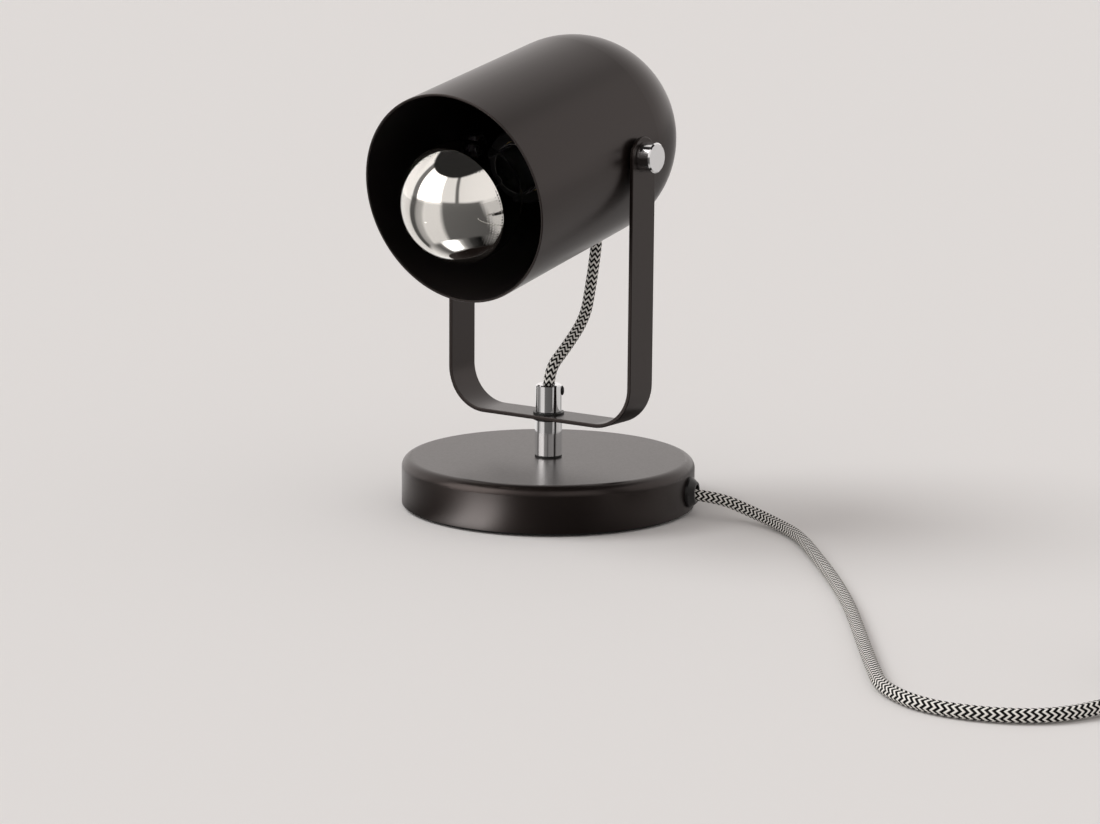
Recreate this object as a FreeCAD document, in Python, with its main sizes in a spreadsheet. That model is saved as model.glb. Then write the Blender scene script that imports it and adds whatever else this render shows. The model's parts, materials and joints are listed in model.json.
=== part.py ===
import FreeCAD, Part
import math
import os
import Sketcher

# Tabletop spot lamp: a weighted round base, a short chrome stem, a flat-bar yoke that swivels on
# the stem, and a bullet-shaped shade that tilts between two clamp knobs. A textile cord runs from
# the plug through a rocker switch into the base, and a second length joins the stem to the shade.
#
# Row frame: origin in the middle of the foot's lower face, +Z up, the yoke spans X and the head
# looks along -Y. Lengths are millimetres and angles are degrees.

Vector = FreeCAD.Vector
Rotation = FreeCAD.Rotation
Placement = FreeCAD.Placement
X_AXIS = Vector(1, 0, 0)
Y_AXIS = Vector(0, 1, 0)
Z_AXIS = Vector(0, 0, 1)

SIZES = {
    # fits that several pieces share
    "running_gap": 0.05,  # radial play of a shaft in the hole that it turns in
    "hole_gap": 0.1,  # radial play of a screw or tube in a plain hole
    "seat_gap": 0.05,  # play between curved faces that seat on each other
    # base
    "base_diameter": 150.0,
    "base_height": 25.0,
    "cover_wall": 1.5,
    "cover_edge_radius": 5.0,
    "cover_lift": 1.6,  # free height under the cover's rim
    "foot_thickness": 2.0,
    "foot_margin": 1.5,  # bare ring between the foot pad and the cover
    "plate_thickness": 1.5,
    "plate_margin": 0.5,
    "weight_thickness": 12.0,
    "weight_margin": 1.0,  # between the weight and the cover's rounded edge
    "weight_edge": 2.0,
    "slot_width": 34.0,  # the open sector of the weight that holds the wiring
    "hub_radius": 18.0,
    "hub_recess_diameter": 24.0,
    "hub_recess_depth": 5.0,
    "pillar_diameter": 12.0,
    "pillar_reach": 52.0,
    "pillar_count": 3.0,
    "plate_screw_diameter": 3.5,
    "plate_screw_head": 6.5,
    "plate_screw_length": 9.0,
    # stem
    "gasket_thickness": 0.6,
    "gasket_diameter": 13.9,
    "stem_diameter": 13.9,
    "stem_bevel": 0.4,
    "washer_thickness": 1.0,
    "washer_diameter": 15.8,
    "tube_diameter": 10.0,
    "tube_bore": 7.2,
    "tube_nut_flats": 14.0,
    "tube_nut_thickness": 4.0,
    "lock_washer_thickness": 0.8,
    "lock_washer_diameter": 18.0,
    "tube_tail": 1.2,  # thread that shows under the nut
    "grip_diameter": 13.3,
    "grip_length": 14.1,
    "grip_thread_depth": 8.0,
    "grip_bore": 6.8,
    "grip_bevel": 0.6,
    "grip_screw_diameter": 3.0,
    "grip_screw_head": 4.8,
    "grip_screw_head_height": 1.1,
    "grip_screw_drop": 3.4,  # from the grip's top to the screw
    "grip_screw_azimuth": 40.0,
    "screw_socket": 2.0,  # across the flats of the hex socket
    # yoke
    "yoke_height": 45.3,  # underside of the bar above the table
    "yoke_width": 112.4,
    "yoke_bar_width": 20.0,
    "yoke_bar_thickness": 2.0,
    "yoke_bend_radius": 22.0,
    "yoke_edge": 0.4,
    "pivot_height": 182.0,
    # head
    "head_tilt": 12.0,  # nose-down angle at rest
    "shade_diameter": 105.0,
    "shade_wall": 1.2,
    "shade_rim_edge": 0.4,
    "rim_reach": 84.0,  # from the pivot to the rim
    "dome_setback": 20.0,  # from the pivot back to the middle of the dome
    "lead_angle": 78.0,  # cord hole, from the dome's rear pole round to its underside
    "lead_hole": 9.0,
    "grommet_play": 0.5,
    "stud_diameter": 6.0,
    "stud_tail": 1.0,
    "knob_diameter": 15.0,
    "knob_length": 7.5,
    "knob_bevel": 0.7,
    "spacer_diameter": 14.0,
    "pivot_nut_flats": 10.0,
    "pivot_nut_thickness": 5.0,
    # lampholder and its bracket
    "holder_droop": 2.2,  # how far the bracket hangs nose-down on its studs
    "bracket_width": 16.0,
    "bracket_thickness": 1.5,
    "bracket_setback": 30.0,
    "bracket_bend": 6.0,
    "bracket_play": 0.5,  # between the bracket's tabs and the shade
    "nipple_length": 15.0,
    "nipple_nut_thickness": 3.0,
    "holder_radius": 19.2,
    "holder_wall": 1.7,
    "holder_neck_radius": 7.5,
    "holder_neck_length": 4.0,
    "holder_shoulder": 14.0,  # from the neck's end to where the cap is full width
    "holder_split": 8.0,  # joint between cap and skirt, behind the pivot
    "holder_spigot": 6.0,
    "holder_mouth": 27.0,  # the skirt's mouth, ahead of the pivot
    "holder_lip": 2.0,
    "core_radius": 15.4,
    "core_base": 4.0,
    "thread_wall": 0.5,
    "contact_width": 5.0,
    # bulb
    "bulb_reach": 77.6,  # from the pivot to the middle of the globe
    "bulb_diameter": 60.0,
    "bulb_length": 105.0,
    "glass_wall": 0.8,
    "globe_end_angle": 35.0,  # where the globe runs into the neck
    "neck_radius": 12.6,
    "neck_blend": 14.0,
    "mirror_wall": 0.25,
    "mirror_edge": 5.6,  # the mirror ends this far ahead of the globe's middle
    "bulb_cap_radius": 13.2,
    "bulb_cap_length": 23.0,
    "bulb_cap_wall": 0.4,
    "bulb_contact_radius": 4.6,
    "bulb_contact_thickness": 1.5,
    "insulator_height": 4.0,
    "stem_tip": 20.0,  # glass stem, from the middle of the globe
    "stem_tip_radius": 2.6,
    "filament_diameter": 0.8,
    # cord gland, wiring and terminal block in the base
    "cord_diameter": 6.0,
    "core_diameter": 2.2,
    "gland_azimuth": 17.0,
    "gland_height": 11.6,
    "gland_flange_diameter": 15.6,
    "gland_flange_edge": 1.2,
    "gland_nose_diameter": 10.6,
    "gland_length": 4.0,  # how far it stands out of the base
    "gland_neck_diameter": 9.8,
    "gland_bore": 8.2,
    "cord_drop": 0.9,  # from the gland's axis to the cord that lies in its bore
    "gland_nut_thickness": 3.0,
    "gland_tail": 0.8,
    "ferrule_length": 7.0,
    "ferrule_diameter": 11.0,
    "sheath_end": 59.0,  # distance from the base's axis where the cord's sheath ends
    "block_reach": 34.5,
    "block_length": 17.0,
    "block_width": 19.0,
    "block_height": 13.0,
    "block_bore": 4.2,
    "block_bore_height": 5.0,
    "block_pitch": 9.0,
    "block_screw_pitch": 9.0,
    "block_screw_diameter": 2.6,
    "block_fixing_diameter": 3.0,
    # rocker switch on the cord
    "switch_length": 62.0,
    "switch_width": 24.0,
    "switch_height": 19.0,
    "switch_wall": 1.8,
    "switch_corner": 9.0,
    "switch_edge": 2.5,
    "switch_x": 396.0,
    "switch_y": -97.0,
    "rocker_length": 20.0,
    "rocker_width": 9.2,
    "rocker_play": 0.5,
    "rocker_rise": 2.6,
    "rocker_pin_diameter": 3.0,
    "rocker_pin_drop": 4.0,
    "rocker_angle": 8.0,
    "switch_screw_diameter": 2.6,
    "switch_screw_reach": 20.0,
    "switch_boss_diameter": 6.2,
    # coil of the cord that is put away, and its tie
    "coil_radius": 30.5,
    "coil_width": 18.0,
    "coil_height": 16.4,
    "coil_x": 432.5,
    "coil_y": -26.0,
    "tie_width": 7.0,
    "tie_thickness": 0.9,
    # flat two-pin plug
    "plug_x": 457.0,
    "plug_y": -128.0,
    "plug_length": 37.0,
    "plug_width": 35.3,
    "plug_thickness": 13.7,
    "plug_neck_width": 13.0,
    "plug_taper": 15.0,
    "plug_bevel": 3.6,
    "relief_length": 25.0,
    "relief_diameter": 10.4,
    "relief_end_diameter": 8.2,
    "pin_diameter": 4.0,
    "pin_length": 19.0,
    "pin_pitch": 18.6,
    "pin_seat": 4.0,  # how far a pin is held in the body
}

# Route of the mains cord from the gland to the switch, chosen by hand.
CORD_ROUTE = [
    (68.4, 20.9, 10.7), (86.0, 26.3, 10.3), (105.0, 27.0, 5.4), (124.0, 20.0, 3.1),
    (147.0, 3.5, 3.1), (174.0, -27.5, 3.1), (202.0, -60.5, 3.1), (231.0, -97.5, 3.1),
    (262.0, -142.5, 3.1), (290.0, -183.0, 3.1), (307.0, -206.0, 3.1), (333.0, -218.0, 3.1),
    (362.0, -212.0, 3.1), (383.0, -195.0, 3.1), (395.0, -162.0, 4.2), (396.0, -143.0, 9.3),
    (396.0, -125.5, 9.5),
]
# From the switch to the outer turn of the coil.
LINK_ROUTE = [
    (396.0, -68.5, 9.5), (396.0, -54.5, 9.3), (395.8, -42.0, 4.2), (396.3, -30.0, 3.1),
]
# From the coil to the plug's strain relief.
TAIL_ROUTE = [
    (469.0, -26.0, 8.0), (469.6, -46.0, 6.0), (465.0, -66.0, 4.2), (457.4, -84.0, 5.4),
    (457.0, -103.0, 6.85),
]
# The cord from the grip on the stem to the inside of the shade, in the plane X = 0.
JUMPER_ROUTE = [
    (0.0, 0.0, 57.1), (0.0, 0.0, 69.0), (0.0, 16.2, 79.4), (0.0, 32.4, 92.4),
    (0.0, 37.2, 108.5), (0.0, 40.4, 121.5), (0.0, 42.8, 134.2), (0.0, 38.0, 145.6),
    (0.0, 39.5, 159.7),
]


class Size:
    """A length or angle that knows its number and the sheet expression it comes from."""

    def __init__(self, value, text):
        self.value = value
        self.text = text

    def __add__(self, other):
        other = size(other)
        return Size(self.value + other.value, f"({self.text} + {other.text})")

    def __sub__(self, other):
        other = size(other)
        return Size(self.value - other.value, f"({self.text} - {other.text})")

    def __mul__(self, other):
        other = size(other)
        return Size(self.value * other.value, f"({self.text} * {other.text})")

    def __truediv__(self, other):
        other = size(other)
        return Size(self.value / other.value, f"({self.text} / {other.text})")

    def __radd__(self, other):
        return size(other) + self

    def __rsub__(self, other):
        return size(other) - self

    def __rmul__(self, other):
        return size(other) * self

    def __neg__(self):
        return Size(-self.value, f"(0 - {self.text})")

    def __float__(self):
        return self.value


def size(number):
    if isinstance(number, Size):
        return number
    return Size(float(number), f"({float(number):.9g})")


def sine(angle):
    return Size(math.sin(math.radians(angle.value)), f"sin({angle.text} * 1 deg)")


def cosine(angle):
    return Size(math.cos(math.radians(angle.value)), f"cos({angle.text} * 1 deg)")


def root(number):
    return Size(math.sqrt(number.value), f"sqrt({number.text})")


doc = FreeCAD.newDocument("spot_lamp")
sheet = doc.addObject("Spreadsheet::Sheet", "sizes")


def fill_sheet():
    """One row for each driving dimension; returns them as Size values by name."""
    named = {}
    for row, (name, number) in enumerate(SIZES.items(), start=1):
        sheet.set(f"A{row}", name.replace("_", " "))
        sheet.set(f"B{row}", str(number))
        sheet.setAlias(f"B{row}", name)
        named[name] = Size(number, f"sizes.{name}")
    doc.recompute()
    return named


class Named(dict):
    """Driving dimensions read as attributes."""

    __getattr__ = dict.__getitem__


s = Named(fill_sheet())
parts = {}


def bind(owner, prop, number):
    """Ties a property to the sheet when its number comes from there."""
    if "sizes." in number.text:
        owner.setExpression(prop, number.text)


def mirrored(body, features):
    """Repeats features on the other side of the body's YZ plane."""
    plane = next(item for item in body.Origin.OriginFeatures if item.Role == "YZ_Plane")
    copy = body.newObject("PartDesign::Mirrored", "mirrored")
    copy.Originals = features
    copy.MirrorPlane = (plane, [""])
    body.Tip = copy
    return copy


def near(a, b, slack=0.02):
    return abs(float(a) - float(b)) < slack


def new_body(label):
    body = doc.addObject("PartDesign::Body", label)
    body.Label = label
    body.AllowCompound = True
    parts[label] = body
    return body


def place(body, x=0, y=0, z=0, turn=None, frame=None):
    """Puts a body at a point that follows the sheet, turned, or in a frame worked out before."""
    if frame is not None:
        body.Placement = frame
        return body
    spot = [size(number) for number in (x, y, z)]
    body.Placement = Placement(Vector(*(float(number) for number in spot)), turn or Rotation())
    for letter, number in zip("xyz", spot):
        bind(body, f"Placement.Base.{letter}", number)
    return body


def sketch_on(body, plane, lift=0, turn=None, middle=None):
    """A sketch on one of the body's own planes, lifted off it or turned about a point."""
    sketch = body.newObject("Sketcher::SketchObject", "outline")
    datum = next(item for item in body.Origin.OriginFeatures if item.Role == plane)
    sketch.AttachmentSupport = (datum, [""])
    sketch.MapMode = "FlatFace"
    lift = size(lift)
    base = middle or Vector(0, 0, float(lift))
    sketch.AttachmentOffset = Placement(base, turn or Rotation())
    if middle is None:
        bind(sketch, "AttachmentOffset.Base.z", lift)
    return sketch


def arc(x, y, centre, radius, turn):
    """A corner that is reached by an arc: turn is 1 anticlockwise and -1 clockwise."""
    return (x, y, centre, radius, turn)


def hold_point(sketch, geometry, end, x, y):
    for kind, number in (("DistanceX", size(x)), ("DistanceY", size(y))):
        index = sketch.addConstraint(
            Sketcher.Constraint(kind, -1, 1, geometry, end, number.value)
        )
        bind(sketch, f"Constraints[{index}]", number)


def hold_half_turn(sketch, geometry, here, there):
    """Keeps a half-circle's middle on the line between its ends, which run along one axis."""
    across = "DistanceY" if near(here[1], there[1]) else "DistanceX"
    number = size(there[2][1] if across == "DistanceY" else there[2][0])
    index = sketch.addConstraint(
        Sketcher.Constraint(across, -1, 1, geometry, 3, number.value)
    )
    bind(sketch, f"Constraints[{index}]", number)


def hold_radius(sketch, geometry, radius):
    index = sketch.addConstraint(Sketcher.Constraint("Radius", geometry, radius.value))
    bind(sketch, f"Constraints[{index}]", radius)


def loop(sketch, corners):
    """A closed outline of straight lines and arcs through the corners."""
    first = sketch.GeometryCount
    starts = []
    ends = []
    for here, there in zip(corners, corners[1:] + corners[:1]):
        a = Vector(float(here[0]), float(here[1]), 0)
        b = Vector(float(there[0]), float(there[1]), 0)
        if len(there) == 2:
            sketch.addGeometry(Part.LineSegment(a, b), False)
            starts.append(1)
            ends.append(2)
            continue
        middle = Vector(float(there[2][0]), float(there[2][1]), 0)
        circle = Part.Circle(middle, Z_AXIS, float(there[3]))
        angles = [math.atan2(p.y - middle.y, p.x - middle.x) for p in (a, b)]
        starts.append(1 if there[4] > 0 else 2)
        ends.append(2 if there[4] > 0 else 1)
        sketch.addGeometry(Part.ArcOfCircle(circle, *angles[:: there[4]]), False)
    count = len(corners)
    for i in range(count):
        following = (i + 1) % count
        sketch.addConstraint(
            Sketcher.Constraint(
                "Coincident", first + i, ends[i], first + following, starts[following]
            )
        )
        hold_point(sketch, first + i, starts[i], corners[i][0], corners[i][1])
        there = corners[following]
        if len(there) == 2:
            continue
        span = math.dist([float(v) for v in corners[i][:2]], [float(v) for v in there[:2]])
        if near(span, 2 * float(there[3])):
            hold_half_turn(sketch, first + i, corners[i], there)
        else:
            hold_radius(sketch, first + i, size(there[3]))
    return sketch


def circle(sketch, x, y, radius):
    x, y, radius = size(x), size(y), size(radius)
    middle = Vector(x.value, y.value, 0)
    index = sketch.addGeometry(Part.Circle(middle, Z_AXIS, radius.value), False)
    hold_radius(sketch, index, radius)
    hold_point(sketch, index, 3, x, y)
    return sketch


def box_loop(sketch, x0, x1, y0, y1):
    return loop(sketch, [(x0, y0), (x1, y0), (x1, y1), (x0, y1)])


def rounded_box_loop(sketch, half_x, half_y, radius):
    """A rectangle about the sketch's origin with four round corners."""
    x, y = half_x - radius, half_y - radius
    return loop(sketch, [
        arc(-x, -half_y, (-x, -y), radius, 1), (x, -half_y),
        arc(half_x, -y, (x, -y), radius, 1), (half_x, y),
        arc(x, half_y, (x, y), radius, 1), (-x, half_y),
        arc(-half_x, y, (-x, y), radius, 1), (-half_x, -y),
    ])


def hexagon(sketch, flats):
    corner = flats / (2 * math.cos(math.pi / 6))
    loop(sketch, [
        (corner * math.cos(math.pi * k / 3), corner * math.sin(math.pi * k / 3))
        for k in range(6)
    ])


def turned(body, sketch, axis="V_Axis", kind="Revolution"):
    """Revolves an outline, or cuts with it when kind is Groove."""
    feature = body.newObject(f"PartDesign::{kind}", kind.lower())
    feature.Profile = sketch
    feature.ReferenceAxis = (sketch, [axis])
    feature.Angle = 360
    return feature


def pad(body, sketch, length, both=False, reverse=False):
    feature = body.newObject("PartDesign::Pad", "pad")
    feature.Profile = sketch
    feature.SideType = "Symmetric" if both else "One side"
    feature.Reversed = reverse
    feature.Length = float(size(length))
    bind(feature, "Length", size(length))
    return feature


def pocket(body, sketch, length=None, both=False, reverse=False):
    """Cuts the outline along the sketch's normal; without a length it goes right through."""
    doc.recompute()
    before = body.Shape.Volume
    feature = body.newObject("PartDesign::Pocket", "pocket")
    feature.Profile = sketch
    feature.SideType = "Symmetric" if both else "One side"
    feature.Reversed = reverse
    if length is None:
        feature.Type = "ThroughAll"
    else:
        feature.Length = float(size(length))
        bind(feature, "Length", size(length))
    doc.recompute()
    if not body.Shape.Volume < before:
        raise ValueError(f"a pocket in {body.Label} cuts nothing")
    return feature


def edge_names(body, wanted):
    """Names of the edges of the body so far for which wanted(edge) holds."""
    doc.recompute()
    edges = enumerate(body.Shape.Edges, start=1)
    moved = body.Placement.inverse()
    names = []
    for number, edge in edges:
        local = edge.transformed(moved.toMatrix()) if not moved.isIdentity() else edge
        if wanted(local):
            names.append(f"Edge{number}")
    if not names:
        raise ValueError(f"no edge to finish on {body.Label}")
    return names


def finish_edges(body, kind, amount, wanted):
    """A Fillet or Chamfer of the edges for which wanted(edge) holds."""
    names = edge_names(body, wanted)
    base = body.Tip
    feature = body.newObject(f"PartDesign::{kind}", kind.lower())
    feature.Base = (base, names)
    prop = "Radius" if kind == "Fillet" else "Size"
    setattr(feature, prop, float(size(amount)))
    bind(feature, prop, size(amount))
    return feature


def pattern(body, features, count):
    """Repeats features round the body's Z axis."""
    ring = body.newObject("PartDesign::PolarPattern", "pattern")
    ring.Originals = features
    ring.Axis = (features[0].Profile[0], ["N_Axis"])
    ring.Angle = 360
    ring.Occurrences = int(float(count))
    body.Tip = ring
    return ring


def lies_at(axis, value):
    """Edges that lie flat at one value of a local axis."""

    def wanted(edge):
        box = edge.BoundBox
        low, high = {"x": (box.XMin, box.XMax), "y": (box.YMin, box.YMax),
                     "z": (box.ZMin, box.ZMax)}[axis]
        return near(low, value) and near(high, value)

    return wanted


def ring(label, outer, inner, thickness, bevel=None):
    """A washer or tube round Z, standing on its own origin."""
    body = new_body(label)
    sketch = sketch_on(body, "XZ_Plane")
    box_loop(sketch, inner, outer, 0, thickness)
    turned(body, sketch)
    if bevel is not None:
        ends = [lies_at("z", 0), lies_at("z", thickness)]
        finish_edges(body, "Chamfer", bevel, lambda edge: (
            any(end(edge) for end in ends) and edge.BoundBox.XLength > 2 * float(outer) - 0.1
        ))
    return body


def hex_nut(label, flats, bore, thickness):
    """A hexagon nut round Z, standing on its own origin."""
    body = new_body(label)
    sketch = sketch_on(body, "XY_Plane")
    hexagon(sketch, flats)
    circle(sketch, 0, 0, bore)
    pad(body, sketch, thickness)
    return body


def rounded_route(points, name):
    """Straight runs joined by tangent arcs, each as large as its two runs allow."""
    corners = [Vector(*point) for point in points]
    edges = []
    radii = []
    start = corners[0]
    for before, here, after in zip(corners, corners[1:], corners[2:]):
        inward, outward = here - before, after - here
        reach = 0.45 * min(inward.Length, outward.Length)
        turn = inward.getAngle(outward)
        radius = reach / math.tan(turn / 2)
        inward.normalize()
        outward.normalize()
        a, b = here - inward * reach, here + outward * reach
        centre = here + (outward - inward).normalize() * (radius / math.cos(turn / 2))
        middle = centre + (here - centre).normalize() * radius
        edges += [Part.LineSegment(start, a).toShape(), Part.Arc(a, middle, b).toShape()]
        radii.append(round(radius, 1))
        start = b
    edges.append(Part.LineSegment(start, corners[-1]).toShape())
    wire = Part.Wire(edges)
    print(f"{name}: {wire.Length:.1f} mm long, bend radii {radii}")
    return wire


def tube_shape(points, diameter, name):
    """A round solid along a route, checked against its section times its length."""
    path = rounded_route(points, name)
    heading = Vector(*points[1]) - Vector(*points[0])
    radius = float(diameter) / 2
    profile = Part.Wire(Part.makeCircle(radius, Vector(*points[0]), heading))
    solid = path.makePipeShell([profile], True, True)
    solid = solid if solid.ShapeType == "Solid" else solid.Solids[0]
    expected = math.pi * radius**2 * path.Length
    if abs(solid.Volume - expected) > 0.01 * expected:
        raise ValueError(f"{name} has volume {solid.Volume:.1f} and not {expected:.1f}")
    return solid


def add_shape(label, shape, frame=None):
    """A sub-part whose shape is swept along a route."""
    feature = doc.addObject("Part::Feature", label)
    feature.Label = label
    feature.Shape = shape
    if frame is not None:
        feature.Placement = frame
    parts[label] = feature
    return feature


# ---------------------------------------------------------------- heights and frames

plate_base = s.foot_thickness
plate_top = plate_base + s.plate_thickness
cover_top = s.base_height
cover_roof = cover_top - s.cover_wall
base_radius = s.base_diameter / 2
cover_bore = base_radius - s.cover_wall
weight_base = cover_roof - s.weight_thickness
hub_seat = weight_base + s.hub_recess_depth
tube_radius = s.tube_diameter / 2
nut_base = hub_seat - s.lock_washer_thickness - s.tube_nut_thickness
tube_base = nut_base - s.tube_tail
stem_base = cover_top + s.gasket_thickness
lower_washer_base = s.yoke_height - s.washer_thickness
upper_washer_base = s.yoke_height + s.yoke_bar_thickness
grip_base = upper_washer_base + s.washer_thickness
grip_top = grip_base + s.grip_length
grip_screw_height = grip_top - s.grip_screw_drop
shade_radius = s.shade_diameter / 2
shade_bore = shade_radius - s.shade_wall
yoke_inside = s.yoke_width / 2 - s.yoke_bar_thickness
stud_radius = s.stud_diameter / 2
tab_outside = root(shade_bore * shade_bore - s.bracket_width * s.bracket_width / 4) \
    - s.bracket_play
tab_inside = tab_outside - s.bracket_thickness
web_front = s.bracket_setback - s.bracket_thickness

pivot = Vector(0, 0, float(s.pivot_height))
head_frame = Placement(pivot, Rotation(X_AXIS, float(s.head_tilt)))
holder_frame = Placement(pivot, Rotation(X_AXIS, float(s.head_tilt + s.holder_droop)))
bulb_frame = holder_frame * Placement(Vector(0, -float(s.bulb_reach), 0), Rotation())
gland_turn = Rotation(Z_AXIS, float(s.gland_azimuth))
other_side = Placement(Vector(), Rotation(Z_AXIS, 180))
back_turn = Rotation(X_AXIS, -90)  # takes local Z to the head's backward direction, +Y


# ---------------------------------------------------------------- base

def base_cover():
    """Pressed steel cup, open below, with the stem hole and the gland hole."""
    body = new_body("base_cover")
    hole = tube_radius + s.hole_gap
    shoulder, edge_height = base_radius - s.cover_edge_radius, cover_top - s.cover_edge_radius
    middle = (shoulder, edge_height)
    sketch = sketch_on(body, "XZ_Plane")
    loop(sketch, [
        (hole, cover_top), (shoulder, cover_top),
        arc(base_radius, edge_height, middle, s.cover_edge_radius, -1),
        (base_radius, s.cover_lift), (cover_bore, s.cover_lift), (cover_bore, edge_height),
        arc(shoulder, cover_roof, middle, s.cover_edge_radius - s.cover_wall, 1),
        (hole, cover_roof),
    ])
    turned(body, sketch)
    side = sketch_on(body, "YZ_Plane")
    circle(side, 0, s.gland_height, s.gland_neck_diameter / 2 + s.hole_gap)
    pocket(body, side, base_radius + 1, reverse=True)
    place(body, turn=gland_turn)


def base_weight():
    """Cast iron disc with a wiring slot, a recessed hub and three screw pillars."""
    body = new_body("base_weight")
    radius = base_radius - s.cover_edge_radius - s.weight_margin
    disc = sketch_on(body, "XY_Plane", weight_base)
    circle(disc, 0, 0, radius)
    circle(disc, 0, 0, tube_radius + s.hole_gap)
    pad(body, disc, s.weight_thickness)
    finish_edges(body, "Chamfer", s.weight_edge, lambda edge: (
        lies_at("z", cover_roof)(edge) and edge.BoundBox.XLength > float(radius)
    ))
    slot = sketch_on(body, "XY_Plane", weight_base)
    box_loop(slot, s.hub_radius, radius + 1, -s.slot_width / 2, s.slot_width / 2)
    pocket(body, slot, s.weight_thickness, reverse=True)
    recess = sketch_on(body, "XY_Plane", weight_base)
    circle(recess, 0, 0, s.hub_recess_diameter / 2)
    pocket(body, recess, s.hub_recess_depth, reverse=True)
    post = sketch_on(body, "XY_Plane", plate_top)
    circle(post, s.pillar_reach * 0.5, s.pillar_reach * math.sqrt(0.75), s.pillar_diameter / 2)
    first = pad(body, post, weight_base - plate_top)
    pattern(body, [first], s.pillar_count)
    tap = sketch_on(body, "XY_Plane", plate_top)
    circle(tap, s.pillar_reach * 0.5, s.pillar_reach * math.sqrt(0.75),
           s.plate_screw_diameter / 2 + s.running_gap)
    drilled = pocket(body, tap, s.plate_screw_length, reverse=True)
    pattern(body, [drilled], s.pillar_count)
    place(body, turn=gland_turn)


def bottom_plate():
    """Steel disc that closes the base, with countersunk holes."""
    body = new_body("bottom_plate")
    disc = sketch_on(body, "XY_Plane", plate_base)
    circle(disc, 0, 0, cover_bore - s.plate_margin)
    pad(body, disc, s.plate_thickness)
    hole_radius = s.plate_screw_diameter / 2 + s.hole_gap
    hole = sketch_on(body, "XY_Plane", plate_base)
    circle(hole, s.pillar_reach * 0.5, s.pillar_reach * math.sqrt(0.75), hole_radius)
    drilled = pocket(body, hole, s.plate_thickness, reverse=True)
    pattern(body, [drilled], s.pillar_count)
    finish_edges(body, "Chamfer", s.plate_screw_head / 2 - hole_radius,
                 lambda edge: lies_at("z", plate_base)(edge)
                 and edge.BoundBox.XLength < float(s.plate_screw_head))
    place(body, turn=gland_turn)


def foot_pad():
    """Soft disc under the plate, which the lamp stands on."""
    body = new_body("foot_pad")
    disc = sketch_on(body, "XY_Plane")
    circle(disc, 0, 0, cover_bore - s.foot_margin)
    pad(body, disc, s.foot_thickness)


def plate_screws():
    """Three countersunk screws from the plate into the weight's pillars."""
    body = new_body("plate_screws")
    shank, head = s.plate_screw_diameter / 2, s.plate_screw_head / 2
    disc = sketch_on(body, "XY_Plane", plate_base)
    circle(disc, s.pillar_reach * 0.5, s.pillar_reach * math.sqrt(0.75), shank)
    first = pad(body, disc, s.plate_screw_length)
    cone = sketch_on(body, "XY_Plane", plate_base)
    circle(cone, s.pillar_reach * 0.5, s.pillar_reach * math.sqrt(0.75), head - s.hole_gap)
    flare = pad(body, cone, head - shank - s.hole_gap)
    flare.TaperAngle = -45
    pattern(body, [first, flare], s.pillar_count)
    place(body, turn=gland_turn)


def stem():
    """What is stacked on the threaded tube, from the nut under the weight to the washers."""
    place(ring("threaded_tube", tube_radius, s.tube_bore / 2,
               grip_base + s.grip_thread_depth - tube_base), z=tube_base)
    bore = tube_radius + s.running_gap
    nut = hex_nut("tube_nut", s.tube_nut_flats, bore, s.tube_nut_thickness)
    place(nut, z=nut_base)
    loose = tube_radius + s.hole_gap
    place(ring("tube_washer", s.lock_washer_diameter / 2, loose, s.lock_washer_thickness),
          z=hub_seat - s.lock_washer_thickness)
    place(ring("stem_gasket", s.gasket_diameter / 2, loose, s.gasket_thickness), z=cover_top)
    place(ring("lower_stem", s.stem_diameter / 2, loose, lower_washer_base - stem_base,
               s.stem_bevel), z=stem_base)
    washers = new_body("stem_washers")
    sketch = sketch_on(washers, "XZ_Plane")
    for base in (lower_washer_base, upper_washer_base):
        box_loop(sketch, loose, s.washer_diameter / 2, base, base + s.washer_thickness)
    turned(washers, sketch)


def cord_grip():
    """Chrome grip that screws onto the tube, with a bore for the cord and a set-screw hole."""
    body = new_body("cord_grip")
    outer, thread, bore = s.grip_diameter / 2, tube_radius + s.running_gap, s.grip_bore / 2
    throat = grip_base + s.grip_thread_depth + s.hole_gap
    sketch = sketch_on(body, "XZ_Plane")
    loop(sketch, [
        (thread, grip_base), (outer - s.grip_bevel / 2, grip_base),
        (outer, grip_base + s.grip_bevel / 2), (outer, grip_top - s.grip_bevel),
        (outer - s.grip_bevel, grip_top), (bore + s.grip_bevel, grip_top),
        (bore, grip_top - s.grip_bevel), (bore, throat), (thread, throat),
    ])
    turned(body, sketch)
    hole = sketch_on(body, "YZ_Plane")
    circle(hole, 0, grip_screw_height, s.grip_screw_diameter / 2 + s.running_gap)
    pocket(body, hole, outer + 1, reverse=True)
    place(body, turn=Rotation(Z_AXIS, float(s.grip_screw_azimuth)))


def grip_screw():
    """Black button screw that clamps the cord in the grip."""
    body = new_body("grip_screw")
    outer, shank, head = s.grip_diameter / 2, s.grip_screw_diameter / 2, s.grip_screw_head / 2
    crown = outer + s.grip_screw_head_height
    sketch = sketch_on(body, "XZ_Plane")
    loop(sketch, [
        (s.grip_bore / 2, 0), (crown, 0), (crown, head * 0.6),
        (crown - s.grip_screw_head_height * 0.5, head), (outer, head), (outer, shank),
        (s.grip_bore / 2, shank),
    ])
    turned(body, sketch, "H_Axis")
    socket = sketch_on(body, "YZ_Plane", crown - s.grip_screw_head_height * 0.8)
    hexagon(socket, s.screw_socket)
    pocket(body, socket, s.grip_screw_head_height, reverse=True)
    place(body, z=grip_screw_height, turn=Rotation(Z_AXIS, float(s.grip_screw_azimuth)))


# ---------------------------------------------------------------- yoke

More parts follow.
